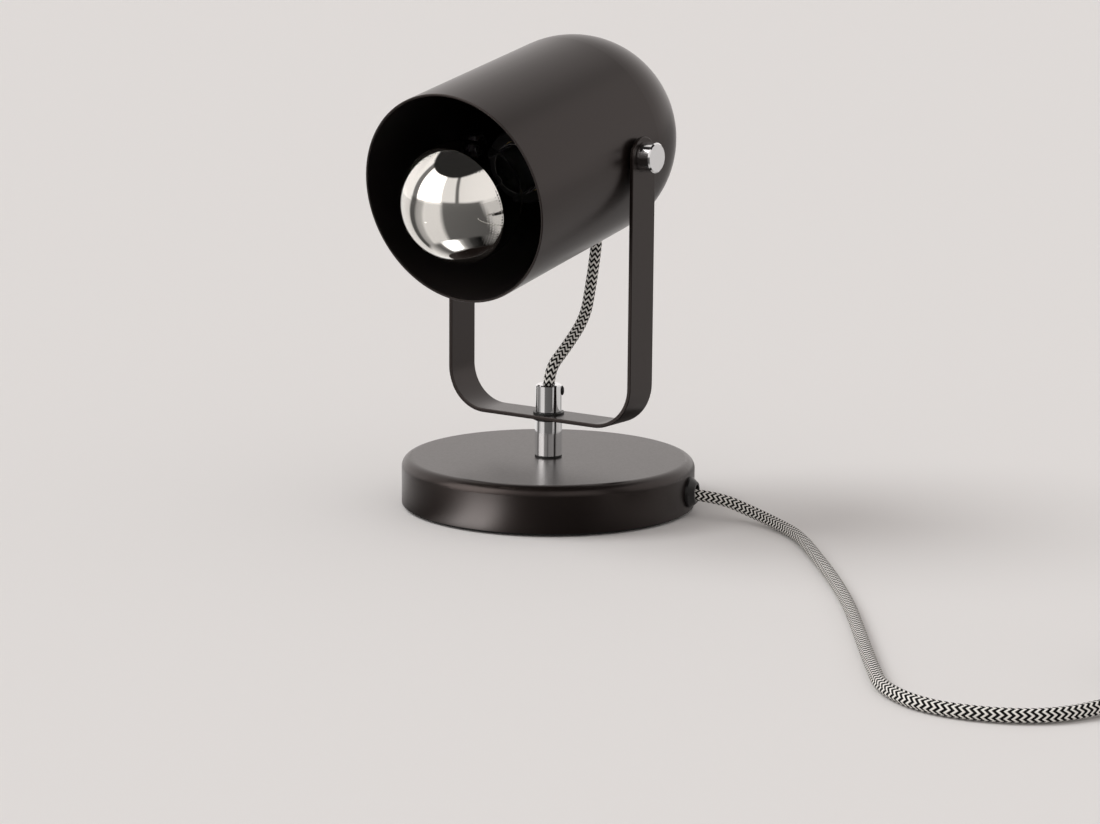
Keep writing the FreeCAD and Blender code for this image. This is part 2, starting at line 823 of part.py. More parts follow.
def yoke_bar():
    """Flat steel bar bent to a U, with round ends, the stem hole and the two stud holes."""
    body = new_body("yoke_bar")
    side, bar, bend = s.yoke_width / 2, s.yoke_bar_thickness, s.yoke_bend_radius
    low, top = s.yoke_height, s.pivot_height + s.yoke_bar_width / 2
    left, right = (-side + bend, low + bend), (side - bend, low + bend)
    sketch = sketch_on(body, "XZ_Plane")
    loop(sketch, [
        (-side, top), (-side, low + bend), arc(-side + bend, low, left, bend, 1),
        (side - bend, low), arc(side, low + bend, right, bend, 1), (side, top),
        (side - bar, top), (side - bar, low + bend),
        arc(side - bend, low + bar, right, bend - bar, -1),
        (-side + bend, low + bar), arc(-side + bar, low + bend, left, bend - bar, -1),
        (-side + bar, top),
    ])
    pad(body, sketch, s.yoke_bar_width, both=True)
    half, beyond = s.yoke_bar_width / 2, s.yoke_bar_width / 2 + 1
    ends = sketch_on(body, "YZ_Plane")
    loop(ends, [
        (-beyond, s.pivot_height), (-half, s.pivot_height),
        arc(half, s.pivot_height, (0, s.pivot_height), half, -1), (beyond, s.pivot_height),
        (beyond, top + 1), (-beyond, top + 1),
    ])
    pocket(body, ends, both=True)
    studs = sketch_on(body, "YZ_Plane")
    circle(studs, 0, s.pivot_height, stud_radius + s.running_gap)
    pocket(body, studs, both=True)
    centre = sketch_on(body, "XY_Plane")
    circle(centre, 0, 0, tube_radius + s.running_gap)
    pocket(body, centre, low + bar + 1, reverse=True)
    finish_edges(body, "Fillet", s.yoke_edge, lambda edge: (
        (lies_at("y", half)(edge) or lies_at("y", -half)(edge)) and edge.Length > 5
    ))


# ---------------------------------------------------------------- head

def shade():
    """Spun shade: a cylinder with a hemispherical back, open at the front."""
    body = new_body("shade")
    back, mouth = s.dome_setback, -s.rim_reach
    sketch = sketch_on(body, "XY_Plane")
    loop(sketch, [
        (0, back + shade_radius), arc(shade_radius, back, (0, back), shade_radius, -1),
        (shade_radius, mouth), (shade_bore, mouth), (shade_bore, back),
        arc(0, back + shade_bore, (0, back), shade_bore, 1),
    ])
    turned(body, sketch)
    studs = sketch_on(body, "YZ_Plane")
    circle(studs, 0, 0, stud_radius + s.hole_gap)
    pocket(body, studs, both=True)
    hole = sketch_on(body, "XY_Plane", middle=Vector(0, float(back), 0),
                     turn=Rotation(X_AXIS, -90 - float(s.lead_angle)))
    circle(hole, 0, 0, s.lead_hole / 2)
    pocket(body, hole, shade_radius + 1, reverse=True)
    finish_edges(body, "Fillet", s.shade_rim_edge, lies_at("y", mouth))
    place(body, frame=head_frame)


def shade_grommet():
    """Rubber ring that lines the cord hole in the dome."""
    body = new_body("shade_grommet")
    neck, flange = s.lead_hole / 2 - s.seat_gap, s.lead_hole / 2 + 1.2
    bore = s.cord_diameter / 2 + s.grommet_play
    seat = root(shade_radius * shade_radius - s.lead_hole * s.lead_hole / 4) + s.seat_gap
    under = root(shade_bore * shade_bore - flange * flange) - s.seat_gap
    sketch = sketch_on(body, "XZ_Plane")
    loop(sketch, [
        (bore, under - 1.2), (flange, under - 1.2), (flange, under), (neck, under),
        (neck, seat), (flange, seat), (flange - 0.4, seat + 1.2), (bore, seat + 1.4),
    ])
    turned(body, sketch)
    turn = Rotation(X_AXIS, -90 - float(s.lead_angle))
    place(body, frame=head_frame * Placement(Vector(0, float(s.dome_setback), 0), turn))


def pivot_fittings():
    """The two saddle spacers outside the shade and the two stud nuts inside it."""
    spacers = new_body("pivot_spacers")
    start = shade_radius - 1
    blank = sketch_on(spacers, "YZ_Plane", start)
    circle(blank, 0, 0, s.spacer_diameter / 2)
    circle(blank, 0, 0, stud_radius + s.hole_gap)
    saddle = sketch_on(spacers, "XZ_Plane")
    circle(saddle, 0, 0, shade_radius + s.seat_gap)
    mirrored(spacers, [pad(spacers, blank, yoke_inside - start)])
    pocket(spacers, saddle, both=True)
    place(spacers, frame=head_frame)

    nuts = new_body("pivot_nuts")
    outline = sketch_on(nuts, "YZ_Plane", tab_inside - s.pivot_nut_thickness)
    hexagon(outline, s.pivot_nut_flats)
    circle(outline, 0, 0, stud_radius + s.running_gap)
    mirrored(nuts, [pad(nuts, outline, s.pivot_nut_thickness)])
    place(nuts, frame=head_frame)


def clamp_knob(side, frame):
    """Chrome knob and its stud, which runs through the yoke into the shade."""
    knob = new_body(f"clamp_knob_{side}")
    face, head, bevel = s.yoke_width / 2, s.knob_diameter / 2, s.knob_bevel
    tip = tab_inside - s.pivot_nut_thickness - s.stud_tail
    sketch = sketch_on(knob, "XZ_Plane")
    loop(sketch, [
        (tip, 0), (face + s.knob_length, 0), (face + s.knob_length, head - bevel),
        (face + s.knob_length - bevel, head), (face + bevel / 2, head),
        (face, head - bevel / 2), (face, stud_radius), (tip + bevel, stud_radius),
        (tip, stud_radius - bevel),
    ])
    turned(knob, sketch, "H_Axis")
    place(knob, frame=frame)


def holder_bracket():
    """Steel strip bent to a U that hangs on the two studs and carries the lampholder."""
    body = new_body("holder_bracket")
    bar, bend, back = s.bracket_thickness, s.bracket_bend, s.bracket_setback
    tip = -s.bracket_width / 2
    left, right = (-tab_outside + bend, back - bend), (tab_outside - bend, back - bend)
    sketch = sketch_on(body, "XY_Plane")
    loop(sketch, [
        (-tab_outside, tip), (-tab_inside, tip), (-tab_inside, back - bend),
        arc(-tab_outside + bend, web_front, left, bend - bar, -1),
        (tab_outside - bend, web_front),
        arc(tab_inside, back - bend, right, bend - bar, -1),
        (tab_inside, tip), (tab_outside, tip), (tab_outside, back - bend),
        arc(tab_outside - bend, back, right, bend, 1), (-tab_outside + bend, back),
        arc(-tab_outside, back - bend, left, bend, 1),
    ])
    pad(body, sketch, s.bracket_width, both=True)
    half, beyond = s.bracket_width / 2, s.bracket_width / 2 + 1
    ends = sketch_on(body, "YZ_Plane")
    loop(ends, [
        (0, -beyond), (0, -half), arc(0, half, (0, 0), half, -1), (0, beyond),
        (tip - 1, beyond), (tip - 1, -beyond),
    ])
    pocket(body, ends, both=True)
    studs = sketch_on(body, "YZ_Plane")
    circle(studs, 0, 0, stud_radius + s.hole_gap)
    pocket(body, studs, both=True)
    web = sketch_on(body, "XZ_Plane")
    circle(web, 0, 0, tube_radius + s.hole_gap)
    pocket(body, web, both=True)
    place(body, frame=holder_frame)


def behind(distance):
    """Frame on the holder's axis, that far behind the pivot, with local Z pointing back."""
    return holder_frame * Placement(Vector(0, float(distance), 0), back_turn)


def lampholder():
    """Nipple, nut, cap, skirt, core, screw shell and centre contact of the lampholder."""
    nipple_back = s.bracket_setback + s.nipple_nut_thickness + s.tube_tail
    place(ring("holder_nipple", tube_radius, s.tube_bore / 2, s.nipple_length),
          frame=behind(nipple_back - s.nipple_length))
    place(hex_nut("nipple_nut", s.tube_nut_flats, tube_radius + s.running_gap,
                  s.nipple_nut_thickness), frame=behind(s.bracket_setback))

    outer, wall, split = s.holder_radius, s.holder_wall, s.holder_split
    neck, shoulder = web_front - s.holder_neck_length, web_front - s.holder_shoulder
    spigot = outer - wall - s.seat_gap
    inner = spigot - wall
    cap = new_body("holder_cap")
    sketch = sketch_on(cap, "XY_Plane")
    thread = tube_radius + s.running_gap
    loop(sketch, [
        (thread, web_front), (s.holder_neck_radius, web_front), (s.holder_neck_radius, neck),
        (outer, shoulder), (outer, split), (spigot, split), (spigot, split - s.holder_spigot),
        (inner, split - s.holder_spigot), (inner, shoulder - wall / 2),
        (s.holder_neck_radius, neck - wall), (thread, neck - wall),
    ])
    turned(cap, sketch)
    place(cap, frame=holder_frame)

    skirt = new_body("holder_skirt")
    mouth, lip = -s.holder_mouth, s.core_radius - wall
    sketch = sketch_on(skirt, "XY_Plane")
    loop(sketch, [
        (lip, mouth), (outer - s.holder_lip / 2, mouth), (outer, mouth + s.holder_lip / 2),
        (outer, split), (outer - wall, split), (outer - wall, mouth + s.holder_lip),
        (lip, mouth + s.holder_lip),
    ])
    turned(skirt, sketch)
    place(skirt, frame=holder_frame)

    core = new_body("holder_core")
    floor = s.bulb_length - s.bulb_diameter / 2 - s.bulb_reach + 2 * s.thread_wall
    sleeve = s.bulb_cap_radius + 3 * s.seat_gap + s.thread_wall
    front = mouth + s.holder_lip + s.seat_gap
    sketch = sketch_on(core, "XY_Plane")
    loop(sketch, [
        (0, floor), (sleeve + s.seat_gap, floor), (sleeve + s.seat_gap, front),
        (s.core_radius, front), (s.core_radius, floor + s.core_base), (0, floor + s.core_base),
    ])
    turned(core, sketch)
    place(core, frame=holder_frame)

    shell = new_body("holder_thread")
    sketch = sketch_on(shell, "XY_Plane")
    box_loop(sketch, sleeve - s.thread_wall, sleeve, front + 1, floor - s.insulator_height)
    turned(shell, sketch)
    place(shell, frame=holder_frame)

    contact = new_body("holder_contact")
    strip = sketch_on(contact, "XY_Plane")
    box_loop(strip, -s.contact_width, s.contact_width, floor - 2 * s.thread_wall, floor)
    pad(contact, strip, s.contact_width, both=True)
    place(contact, frame=holder_frame)


def bulb():
    """Crown-mirrored filament bulb; local origin in the middle of the globe, +Y to its cap."""
    globe, wall, angle = s.bulb_diameter / 2, s.glass_wall, s.globe_end_angle
    slope = cosine(angle) / sine(angle)
    cap_end = s.bulb_length - globe - s.bulb_contact_thickness
    cap_rim = cap_end - s.insulator_height - s.bulb_cap_length + 1
    neck_end = cap_rim + 3

    def globe_corner(radius, neck):
        """Where the globe's tangent meets the neck."""
        return (neck, radius * sine(angle) + (radius * cosine(angle) - neck) * slope)

    inner, inner_neck = globe - wall, s.neck_radius - wall
    glass = new_body("bulb_glass")
    sketch = sketch_on(glass, "XY_Plane")
    loop(sketch, [
        (0, -globe),
        arc(globe * cosine(angle), globe * sine(angle), (0, 0), globe, 1),
        globe_corner(globe, s.neck_radius), (s.neck_radius, neck_end), (inner_neck, neck_end),
        globe_corner(inner, inner_neck), (inner * cosine(angle), inner * sine(angle)),
        arc(0, -inner, (0, 0), inner, -1),
    ])
    turned(glass, sketch)
    bends = [globe_corner(globe, s.neck_radius)[1], globe_corner(inner, inner_neck)[1]]
    finish_edges(glass, "Fillet", s.neck_blend, lambda edge: (
        any(lies_at("y", bend)(edge) for bend in bends)
    ))
    place(glass, frame=bulb_frame)

    mirror = new_body("crown_mirror")
    coat = inner - s.mirror_wall
    edge_outer = root(inner * inner - s.mirror_edge * s.mirror_edge)
    edge_inner = root(coat * coat - s.mirror_edge * s.mirror_edge)
    sketch = sketch_on(mirror, "XY_Plane")
    loop(sketch, [
        (0, -inner), arc(edge_outer, -s.mirror_edge, (0, 0), inner, 1),
        (edge_inner, -s.mirror_edge), arc(0, -coat, (0, 0), coat, -1),
    ])
    turned(mirror, sketch)
    place(mirror, frame=bulb_frame)

    shell, thick = s.bulb_cap_radius, s.bulb_cap_wall
    cap_back = cap_end - s.insulator_height
    cap = new_body("bulb_cap")
    sketch = sketch_on(cap, "XY_Plane")
    loop(sketch, [
        (shell - thick, cap_rim), (shell, cap_rim), (shell, cap_back),
        (shell - 2, cap_back + 1), (shell - 2 - thick, cap_back + 1), (shell - thick, cap_back),
    ])
    turned(cap, sketch)
    place(cap, frame=bulb_frame)

    insulator = new_body("bulb_insulator")
    sketch = sketch_on(insulator, "XY_Plane")
    loop(sketch, [
        (0, cap_back - 1), (shell - thick - s.seat_gap, cap_back - 1),
        (shell - thick - s.seat_gap, cap_back - s.seat_gap),
        (shell - 2 - thick - s.seat_gap, cap_back + 1), (s.bulb_contact_radius + 0.6, cap_end),
        (0, cap_end),
    ])
    turned(insulator, sketch)
    place(insulator, frame=bulb_frame)

    contact = new_body("bulb_contact")
    sketch = sketch_on(contact, "XY_Plane")
    tip = cap_end + s.bulb_contact_thickness
    loop(sketch, [
        (0, cap_end), (s.bulb_contact_radius, cap_end), (s.bulb_contact_radius / 2, tip),
        (0, tip),
    ])
    turned(contact, sketch)
    place(contact, frame=bulb_frame)

    stem_glass = new_body("bulb_stem")
    sketch = sketch_on(stem_glass, "XY_Plane")
    flare = inner_neck - s.seat_gap
    loop(sketch, [
        (0, s.stem_tip), (s.stem_tip_radius, s.stem_tip), (s.stem_tip_radius, neck_end - 12),
        (flare, neck_end - 1), (flare, neck_end), (0, neck_end),
    ])
    turned(stem_glass, sketch)
    place(stem_glass, frame=bulb_frame)

    base, top = float(s.stem_tip), float(s.stem_tip) - 16
    route = [(-2, base, 0), (-8, base - 9, 0), (-6.5, top, 1.5), (0, top - 3, 2.5),
             (6.5, top, 1.5), (8, base - 9, 0), (2, base, 0)]
    add_shape("filament", tube_shape(route, s.filament_diameter, "filament"), bulb_frame)


# ---------------------------------------------------------------- gland and wiring in the base

def gland():
    """Cord gland with a conical flange, its nut and the ferrule that anchors the cord."""
    body = new_body("cord_gland")
    flange, nose = s.gland_flange_diameter / 2, s.gland_nose_diameter / 2
    out = base_radius + s.gland_length
    sketch = sketch_on(body, "XZ_Plane")
    loop(sketch, [
        (base_radius - 1, 0), (out, 0), (out, nose),
        (base_radius + s.gland_flange_edge, flange), (base_radius - 1, flange),
    ])
    turned(body, sketch, "H_Axis")
    wall = sketch_on(body, "XY_Plane")
    circle(wall, 0, 0, base_radius + s.seat_gap)
    pocket(body, wall, both=True)
    nut_front = root(cover_bore * cover_bore - s.tube_nut_flats * s.tube_nut_flats / 3)
    nut_back = nut_front - s.gland_nut_thickness
    neck = sketch_on(body, "XZ_Plane")
    box_loop(neck, nut_back - s.gland_tail, out - 1, 0, s.gland_neck_diameter / 2)
    turned(body, neck, "H_Axis")
    bore = sketch_on(body, "YZ_Plane")
    circle(bore, 0, 0, s.gland_bore / 2)
    pocket(body, bore, out + 1, reverse=True)
    outward = Placement(Vector(0, 0, float(s.gland_height)), gland_turn)
    place(body, frame=outward)

    nut = hex_nut("gland_nut", s.tube_nut_flats, s.gland_neck_diameter / 2 + s.running_gap,
                  s.gland_nut_thickness)
    side = Placement(Vector(float(nut_back), 0, 0), Rotation(Y_AXIS, 90))
    place(nut, frame=outward * side)

    ferrule = ring("cord_ferrule", s.ferrule_diameter / 2,
                   s.cord_diameter / 2 + s.running_gap, s.ferrule_length,
                   s.gasket_thickness)
    reach = float(nut_back - s.gland_tail - s.ferrule_length - s.hole_gap)
    seat = Placement(Vector(reach, 0, -float(s.cord_drop)), Rotation(Y_AXIS, 90))
    place(ferrule, frame=outward * seat)


def wiring():
    """The cord's sheathed end in the base and the cores on both sides of the terminal block."""
    turn = Placement(Vector(), gland_turn)
    height = float(s.gland_height - s.cord_drop)
    end = Vector(*CORD_ROUTE[0])
    inner = turn.multVec(Vector(float(s.sheath_end), 0, height))
    start = Vector(end.x, end.y, height)
    sheath = Part.makeCylinder(float(s.cord_diameter) / 2, (start - inner).Length, inner,
                               start - inner)
    add_shape("sheathed_end", sheath)
    bore_height = float(plate_top + s.block_bore_height)
    pitch = float(s.block_pitch) / 2
    block_front = float(s.block_reach + s.block_length / 2)
    block_back = float(s.block_reach - s.block_length / 2)
    tube_end = float(grip_base + s.grip_thread_depth)
    pair = float(s.core_diameter) / 2 + 0.1
    supply = []
    lamp = []
    for side in (-1, 1):
        supply.append(tube_shape([
            (float(s.sheath_end), side * pair, height),
            (float(s.sheath_end) - 8, side * pair * 1.6, height - 0.8),
            (block_front + 2, side * pitch, bore_height + 0.1),
            (block_front - 5, side * pitch, bore_height),
        ], s.core_diameter, "supply core"))
        lamp.append(tube_shape([
            (block_back + 5, side * pitch, bore_height),
            (block_back - 3, side * pitch, bore_height - 0.2),
            (16, side * pair, bore_height - 1), (0, side * pair, bore_height - 1),
            (0, side * pair, tube_end),
        ], s.core_diameter, "lamp core"))
    add_shape("supply_cores", Part.makeCompound(supply), turn)
    add_shape("lamp_cores", Part.makeCompound(lamp), turn)


def head_cores():
    """The two cores from the end of the jumper cord into the lampholder's nipple."""
    inside = head_frame.inverse().multVec(Vector(*JUMPER_ROUTE[-1]))
    nipple_back = float(s.bracket_setback + s.nipple_nut_thickness + s.tube_tail)
    pair = float(s.core_diameter) / 2 + 0.1
    cores = []
    for side in (-1, 1):
        cores.append(tube_shape([
            (side * pair, inside.y, inside.z + 0.1), (side * pair, inside.y + 3, inside.z + 10),
            (side * pair, inside.y + 12, -12), (side * pair, 52, -3),
            (side * pair, 46, 2), (side * pair, nipple_back - 3, 0),
        ], s.core_diameter, "head core"))
    add_shape("head_cores", Part.makeCompound(cores), head_frame)


def terminal_block():
    """Two-pole block on the bottom plate, its brass tubes and its screws."""
    length, width, tall = s.block_length, s.block_width, s.block_height
    bore, low, pitch = s.block_bore / 2, s.block_bore_height, s.block_pitch / 2
    frame = Placement(Vector(0, 0, float(plate_top)), gland_turn) \
        * Placement(Vector(float(s.block_reach), 0, 0), Rotation())
    block = new_body("terminal_block")
    sketch = sketch_on(block, "YZ_Plane")
    half, waist = width / 2, s.block_fixing_diameter / 2 + 0.5
    loop(sketch, [
        (-half, 0), (half, 0), (half, tall), (waist, tall), (waist, low), (-waist, low),
        (-waist, tall), (-half, tall),
    ])
    pad(block, sketch, length, both=True)
    bores = sketch_on(block, "YZ_Plane")
    for side in (-1, 1):
        circle(bores, side * pitch, low, bore)
    pocket(block, bores, both=True)
    taps = sketch_on(block, "XY_Plane", low)
    spread = s.block_screw_pitch / 2
    spots = [(i * spread, j * pitch) for i in (-1, 1) for j in (-1, 1)]
    for x, y in spots:
        circle(taps, x, y, s.block_screw_diameter / 2 + s.hole_gap)
    pocket(block, taps, tall, reverse=True)
    fixing = sketch_on(block, "XY_Plane")
    circle(fixing, 0, 0, s.block_fixing_diameter / 2)
    pocket(block, fixing, low + 1, reverse=True)
    place(block, frame=frame)

    tubes = new_body("terminal_tubes")
    sketch = sketch_on(tubes, "YZ_Plane")
    for side in (-1, 1):
        circle(sketch, side * pitch, low, bore - s.seat_gap)
        circle(sketch, side * pitch, low, s.core_diameter / 2 + 2 * s.hole_gap)
    pad(tubes, sketch, length - 2, both=True)
    holes = sketch_on(tubes, "XY_Plane", low)
    for x, y in spots:
        circle(holes, x, y, s.block_screw_diameter / 2 + s.hole_gap)
    pocket(tubes, holes, tall, reverse=True)
    place(tubes, frame=frame)

    screws = new_body("terminal_screws")
    sketch = sketch_on(screws, "XY_Plane", low + s.core_diameter / 2 + s.hole_gap)
    for x, y in spots:
        circle(sketch, x, y, s.block_screw_diameter / 2)
    pad(screws, sketch, s.block_height / 3)
    place(screws, frame=frame)


# ---------------------------------------------------------------- rocker switch on the cord

def rocker_switch():
    """Two screwed halves, the rocker on its pin, and the contact clips."""
    half_x, half_y, tall = s.switch_length / 2, s.switch_width / 2, s.switch_height
    wall, mid = s.switch_wall, s.switch_height / 2
    window_x = s.rocker_length / 2 + 2 * s.rocker_play
    window_y = s.rocker_width / 2 + s.rocker_play
    entry = s.cord_diameter / 2 + s.hole_gap
    pin, pin_height = s.rocker_pin_diameter / 2, tall - s.rocker_pin_drop
    boss, reach = s.switch_boss_diameter / 2, s.switch_screw_reach
    screw, head = s.switch_screw_diameter / 2, s.switch_boss_diameter / 2 - 0.8
    frame = Placement(Vector(float(s.switch_x), float(s.switch_y), 0), Rotation(Z_AXIS, 90))

    for label, base, upper in (("switch_lower_half", 0, False), ("switch_upper_half", mid, True)):
        body = new_body(label)
        outer = sketch_on(body, "XY_Plane", base)
        rounded_box_loop(outer, half_x, half_y, s.switch_corner)
        pad(body, outer, mid)
        finish_edges(body, "Fillet", s.switch_edge, lies_at("z", tall if upper else 0))
        room = sketch_on(body, "XY_Plane", mid if upper else wall)
        rounded_box_loop(room, half_x - wall, half_y - wall, s.switch_corner - wall)
        for side in (-1, 1):
            circle(room, side * reach, half_y - wall - boss - 0.4, boss)
        pocket(body, room, mid - wall, reverse=True)
        cords = sketch_on(body, "YZ_Plane")
        circle(cords, 0, mid, entry)
        pocket(body, cords, both=True)
        drill = sketch_on(body, "XY_Plane", mid if upper else 0)
        for side in (-1, 1):
            circle(drill, side * reach, half_y - wall - boss - 0.4, screw + s.running_gap)
        pocket(body, drill, mid - wall, reverse=True)
        if upper:
            window = sketch_on(body, "XY_Plane", tall)
            box_loop(window, -window_x, window_x, -window_y, window_y)
            pocket(body, window, wall, reverse=False)
            for side in (-1, 1):
                rib = sketch_on(body, "XZ_Plane", lift=side * (window_y + 1))
                box_loop(rib, -pin * 2, pin * 2, mid + 1, tall - wall)
                pad(body, rib, 1.6, both=True)
            hole = sketch_on(body, "XZ_Plane")
            circle(hole, 0, pin_height, pin + s.running_gap)
            pocket(body, hole, 2 * window_y + 6, both=True)
        else:
            sink = sketch_on(body, "XY_Plane")
            for side in (-1, 1):
                circle(sink, side * reach, half_y - wall - boss - 0.4, head + s.hole_gap)
            pocket(body, sink, wall, reverse=True)
            drilled = sketch_on(body, "XY_Plane")
            for side in (-1, 1):
                circle(drilled, side * reach, half_y - wall - boss - 0.4, screw + s.running_gap)
            pocket(body, drilled, mid, reverse=True)
        place(body, frame=frame)

    screws = new_body("switch_screws")
    heads = sketch_on(screws, "XY_Plane", 0.4)
    shanks = sketch_on(screws, "XY_Plane", 0.4)
    for side in (-1, 1):
        circle(heads, side * reach, half_y - wall - boss - 0.4, head)
        circle(shanks, side * reach, half_y - wall - boss - 0.4, screw)
    pad(screws, heads, wall - 0.4)
    pad(screws, shanks, mid + mid / 2)
    place(screws, frame=frame)

    rocker = new_body("switch_rocker")
    long, rise = s.rocker_length / 2, s.rocker_rise
    sketch = sketch_on(rocker, "XZ_Plane")
    # local Z = 0 is the pin's axis
    crest = s.rocker_pin_drop + rise
    loop(sketch, [
        (-long, -pin), (-pin * 2, -pin * 1.6), (pin * 2, -pin * 1.6), (long, -pin),
        (long, crest), (long - 2, crest + 0.4), (0, crest - rise / 2),
        (-long + 2, crest + 0.4), (-long, crest),
    ])
    pad(rocker, sketch, s.rocker_width, both=True)
    axle = sketch_on(rocker, "XZ_Plane")
    circle(axle, 0, 0, pin)
    pad(rocker, axle, 2 * window_y + 3.4, both=True)
    tilt = Placement(Vector(0, 0, float(pin_height)), Rotation(Y_AXIS, -float(s.rocker_angle)))
    place(rocker, frame=frame * tilt)

    clips = new_body("switch_contacts")
    sketch = sketch_on(clips, "XZ_Plane")
    for side in (-1, 1):
        box_loop(sketch, *sorted((side * 5.0, side * 13.0)), wall, wall + 0.8)
    pad(clips, sketch, s.rocker_width / 2, both=True)
    place(clips, frame=frame)


# ---------------------------------------------------------------- cords, coil, tie and plug

def cords():
    tube = s.cord_diameter
    add_shape("mains_cord", tube_shape(CORD_ROUTE, tube, "mains cord"))
    add_shape("cord_link", tube_shape(LINK_ROUTE, tube, "cord link"))
    add_shape("cord_tail", tube_shape(TAIL_ROUTE, tube, "cord tail"))
    add_shape("jumper_cord", tube_shape(JUMPER_ROUTE, tube, "jumper cord"))


def cord_coil():
    """Outer shape of the coil of cord, and the strap that ties it."""
    coil = new_body("cord_coil")
    radius, half, tall = s.coil_radius, s.coil_width / 2, s.coil_height
    turn = s.cord_diameter / 2
    low, high = (radius - half + turn, turn), (radius + half - turn, turn)
    sketch = sketch_on(coil, "XZ_Plane")
    loop(sketch, [
        arc(radius - half + turn, 0, low, turn, 1), (radius + half - turn, 0),
        arc(radius + half, turn, high, turn, 1), (radius + half, turn * 1.6),
        (radius + turn * 1.7, tall - turn * 0.5), (radius + turn * 1.2, tall),
        (radius - turn * 1.2, tall), (radius - turn * 1.7, tall - turn * 0.5),
        (radius - half, turn * 1.6), (radius - half, turn),
    ])
    turned(coil, sketch)
    place(coil, x=s.coil_x, y=s.coil_y)

    tie = new_body("coil_tie")
    strap, play = s.tie_thickness, 0.3
    inner, outer, roof = radius - half - play, radius + half + play, tall + play
    sketch = sketch_on(tie, "XZ_Plane")
    loop(sketch, [
        (inner - strap, 0.2), (inner, 0.2), (inner, turn * 1.6), (radius - turn * 1.2, roof),
        (radius + turn * 1.2, roof), (outer, turn * 1.6), (outer, 0.2), (outer + strap, 0.2),
        (outer + strap, turn * 1.7), (radius + turn * 1.4, roof + strap),
        (radius - turn * 1.4, roof + strap), (inner - strap, turn * 1.7),
    ])
    pad(tie, sketch, s.tie_width, both=True)
    place(tie, x=s.coil_x, y=s.coil_y, turn=Rotation(Z_AXIS, 60))


def plug():
    """Flat two-pin plug with its strain relief; local X runs from the cord to the pins."""
    frame = Placement(
        Vector(float(s.plug_x), float(s.plug_y), float(s.plug_thickness) / 2),
        Rotation(Z_AXIS, -90),
    )
    body = new_body("plug_body")
    half, neck, bevel = s.plug_width / 2, s.plug_neck_width / 2, s.plug_bevel
    sketch = sketch_on(body, "XY_Plane")
    loop(sketch, [
        (0, -neck), (s.plug_taper, -half), (s.plug_length, -half), (s.plug_length, half),
        (s.plug_taper, half), (0, neck),
    ])
    pad(body, sketch, s.plug_thickness, both=True)
    flat = s.plug_thickness / 2
    finish_edges(body, "Chamfer", bevel, lambda edge: (
        (lies_at("z", flat)(edge) or lies_at("z", -flat)(edge))
        and edge.BoundBox.XLength > 1
    ))
    relief = sketch_on(body, "XZ_Plane")
    wide, thin = s.relief_diameter / 2, s.relief_end_diameter / 2
    loop(relief, [(-s.relief_length, 0), (2, 0), (2, wide), (0, wide), (-s.relief_length, thin)])
    turned(body, relief, "H_Axis")
    for k in range(4):
        start = -s.relief_length * (0.82 - 0.19 * k)
        groove = sketch_on(body, "XZ_Plane")
        box_loop(groove, start, start + 1.6, thin - 0.5, wide + 1)
        turned(body, groove, "H_Axis", "Groove")
    bore = sketch_on(body, "YZ_Plane", -s.relief_length)
    circle(bore, 0, 0, s.cord_diameter / 2 + s.hole_gap)
    pocket(body, bore, s.relief_length / 2, reverse=True)
    seats = sketch_on(body, "YZ_Plane", s.plug_length)
    for side in (-1, 1):
        circle(seats, side * s.pin_pitch / 2, 0, s.pin_diameter / 2 + s.running_gap)
    pocket(body, seats, s.pin_seat)
    place(body, frame=frame)

    pins = new_body("plug_pins")
    rods = sketch_on(pins, "YZ_Plane", s.plug_length - s.pin_seat)
    for side in (-1, 1):
        circle(rods, side * s.pin_pitch / 2, 0, s.pin_diameter / 2)
    pad(pins, rods, s.pin_seat + s.pin_length)
    finish_edges(pins, "Fillet", s.pin_diameter / 4, lies_at("x", s.plug_length + s.pin_length))
    place(pins, frame=frame)


def check_document():
    """Every feature has to be sound before a file is written."""
    doc.recompute()
    for item in doc.Objects:
        if "Invalid" in item.State or "Error" in item.State:
            raise ValueError(f"{item.Name} ({item.Label}) is {item.State}")
    for label, item in parts.items():
        if item.Shape.isNull() or not item.Shape.isValid() or not item.Shape.Solids:
            raise ValueError(f"{label} has no sound shape")


def write_parts():
    os.makedirs("parts", exist_ok=True)
    for label, item in parts.items():
        item.Shape.exportStep(f"parts/{label}.step")
        print(f"{label}: {len(item.Shape.Solids)} solid(s), {item.Shape.Volume:.1f} mm3")


base_cover()
base_weight()
bottom_plate()
foot_pad()
plate_screws()
stem()
cord_grip()
grip_screw()
yoke_bar()
shade()
shade_grommet()
pivot_fittings()
clamp_knob("right", head_frame)
clamp_knob("left", head_frame * other_side)
holder_bracket()
lampholder()
bulb()
gland()
wiring()
head_cores()
terminal_block()
rocker_switch()
cords()
cord_coil()
plug()
check_document()
write_parts()
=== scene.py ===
import bpy
import json
import math
import numpy as np
from mathutils import Matrix, Vector


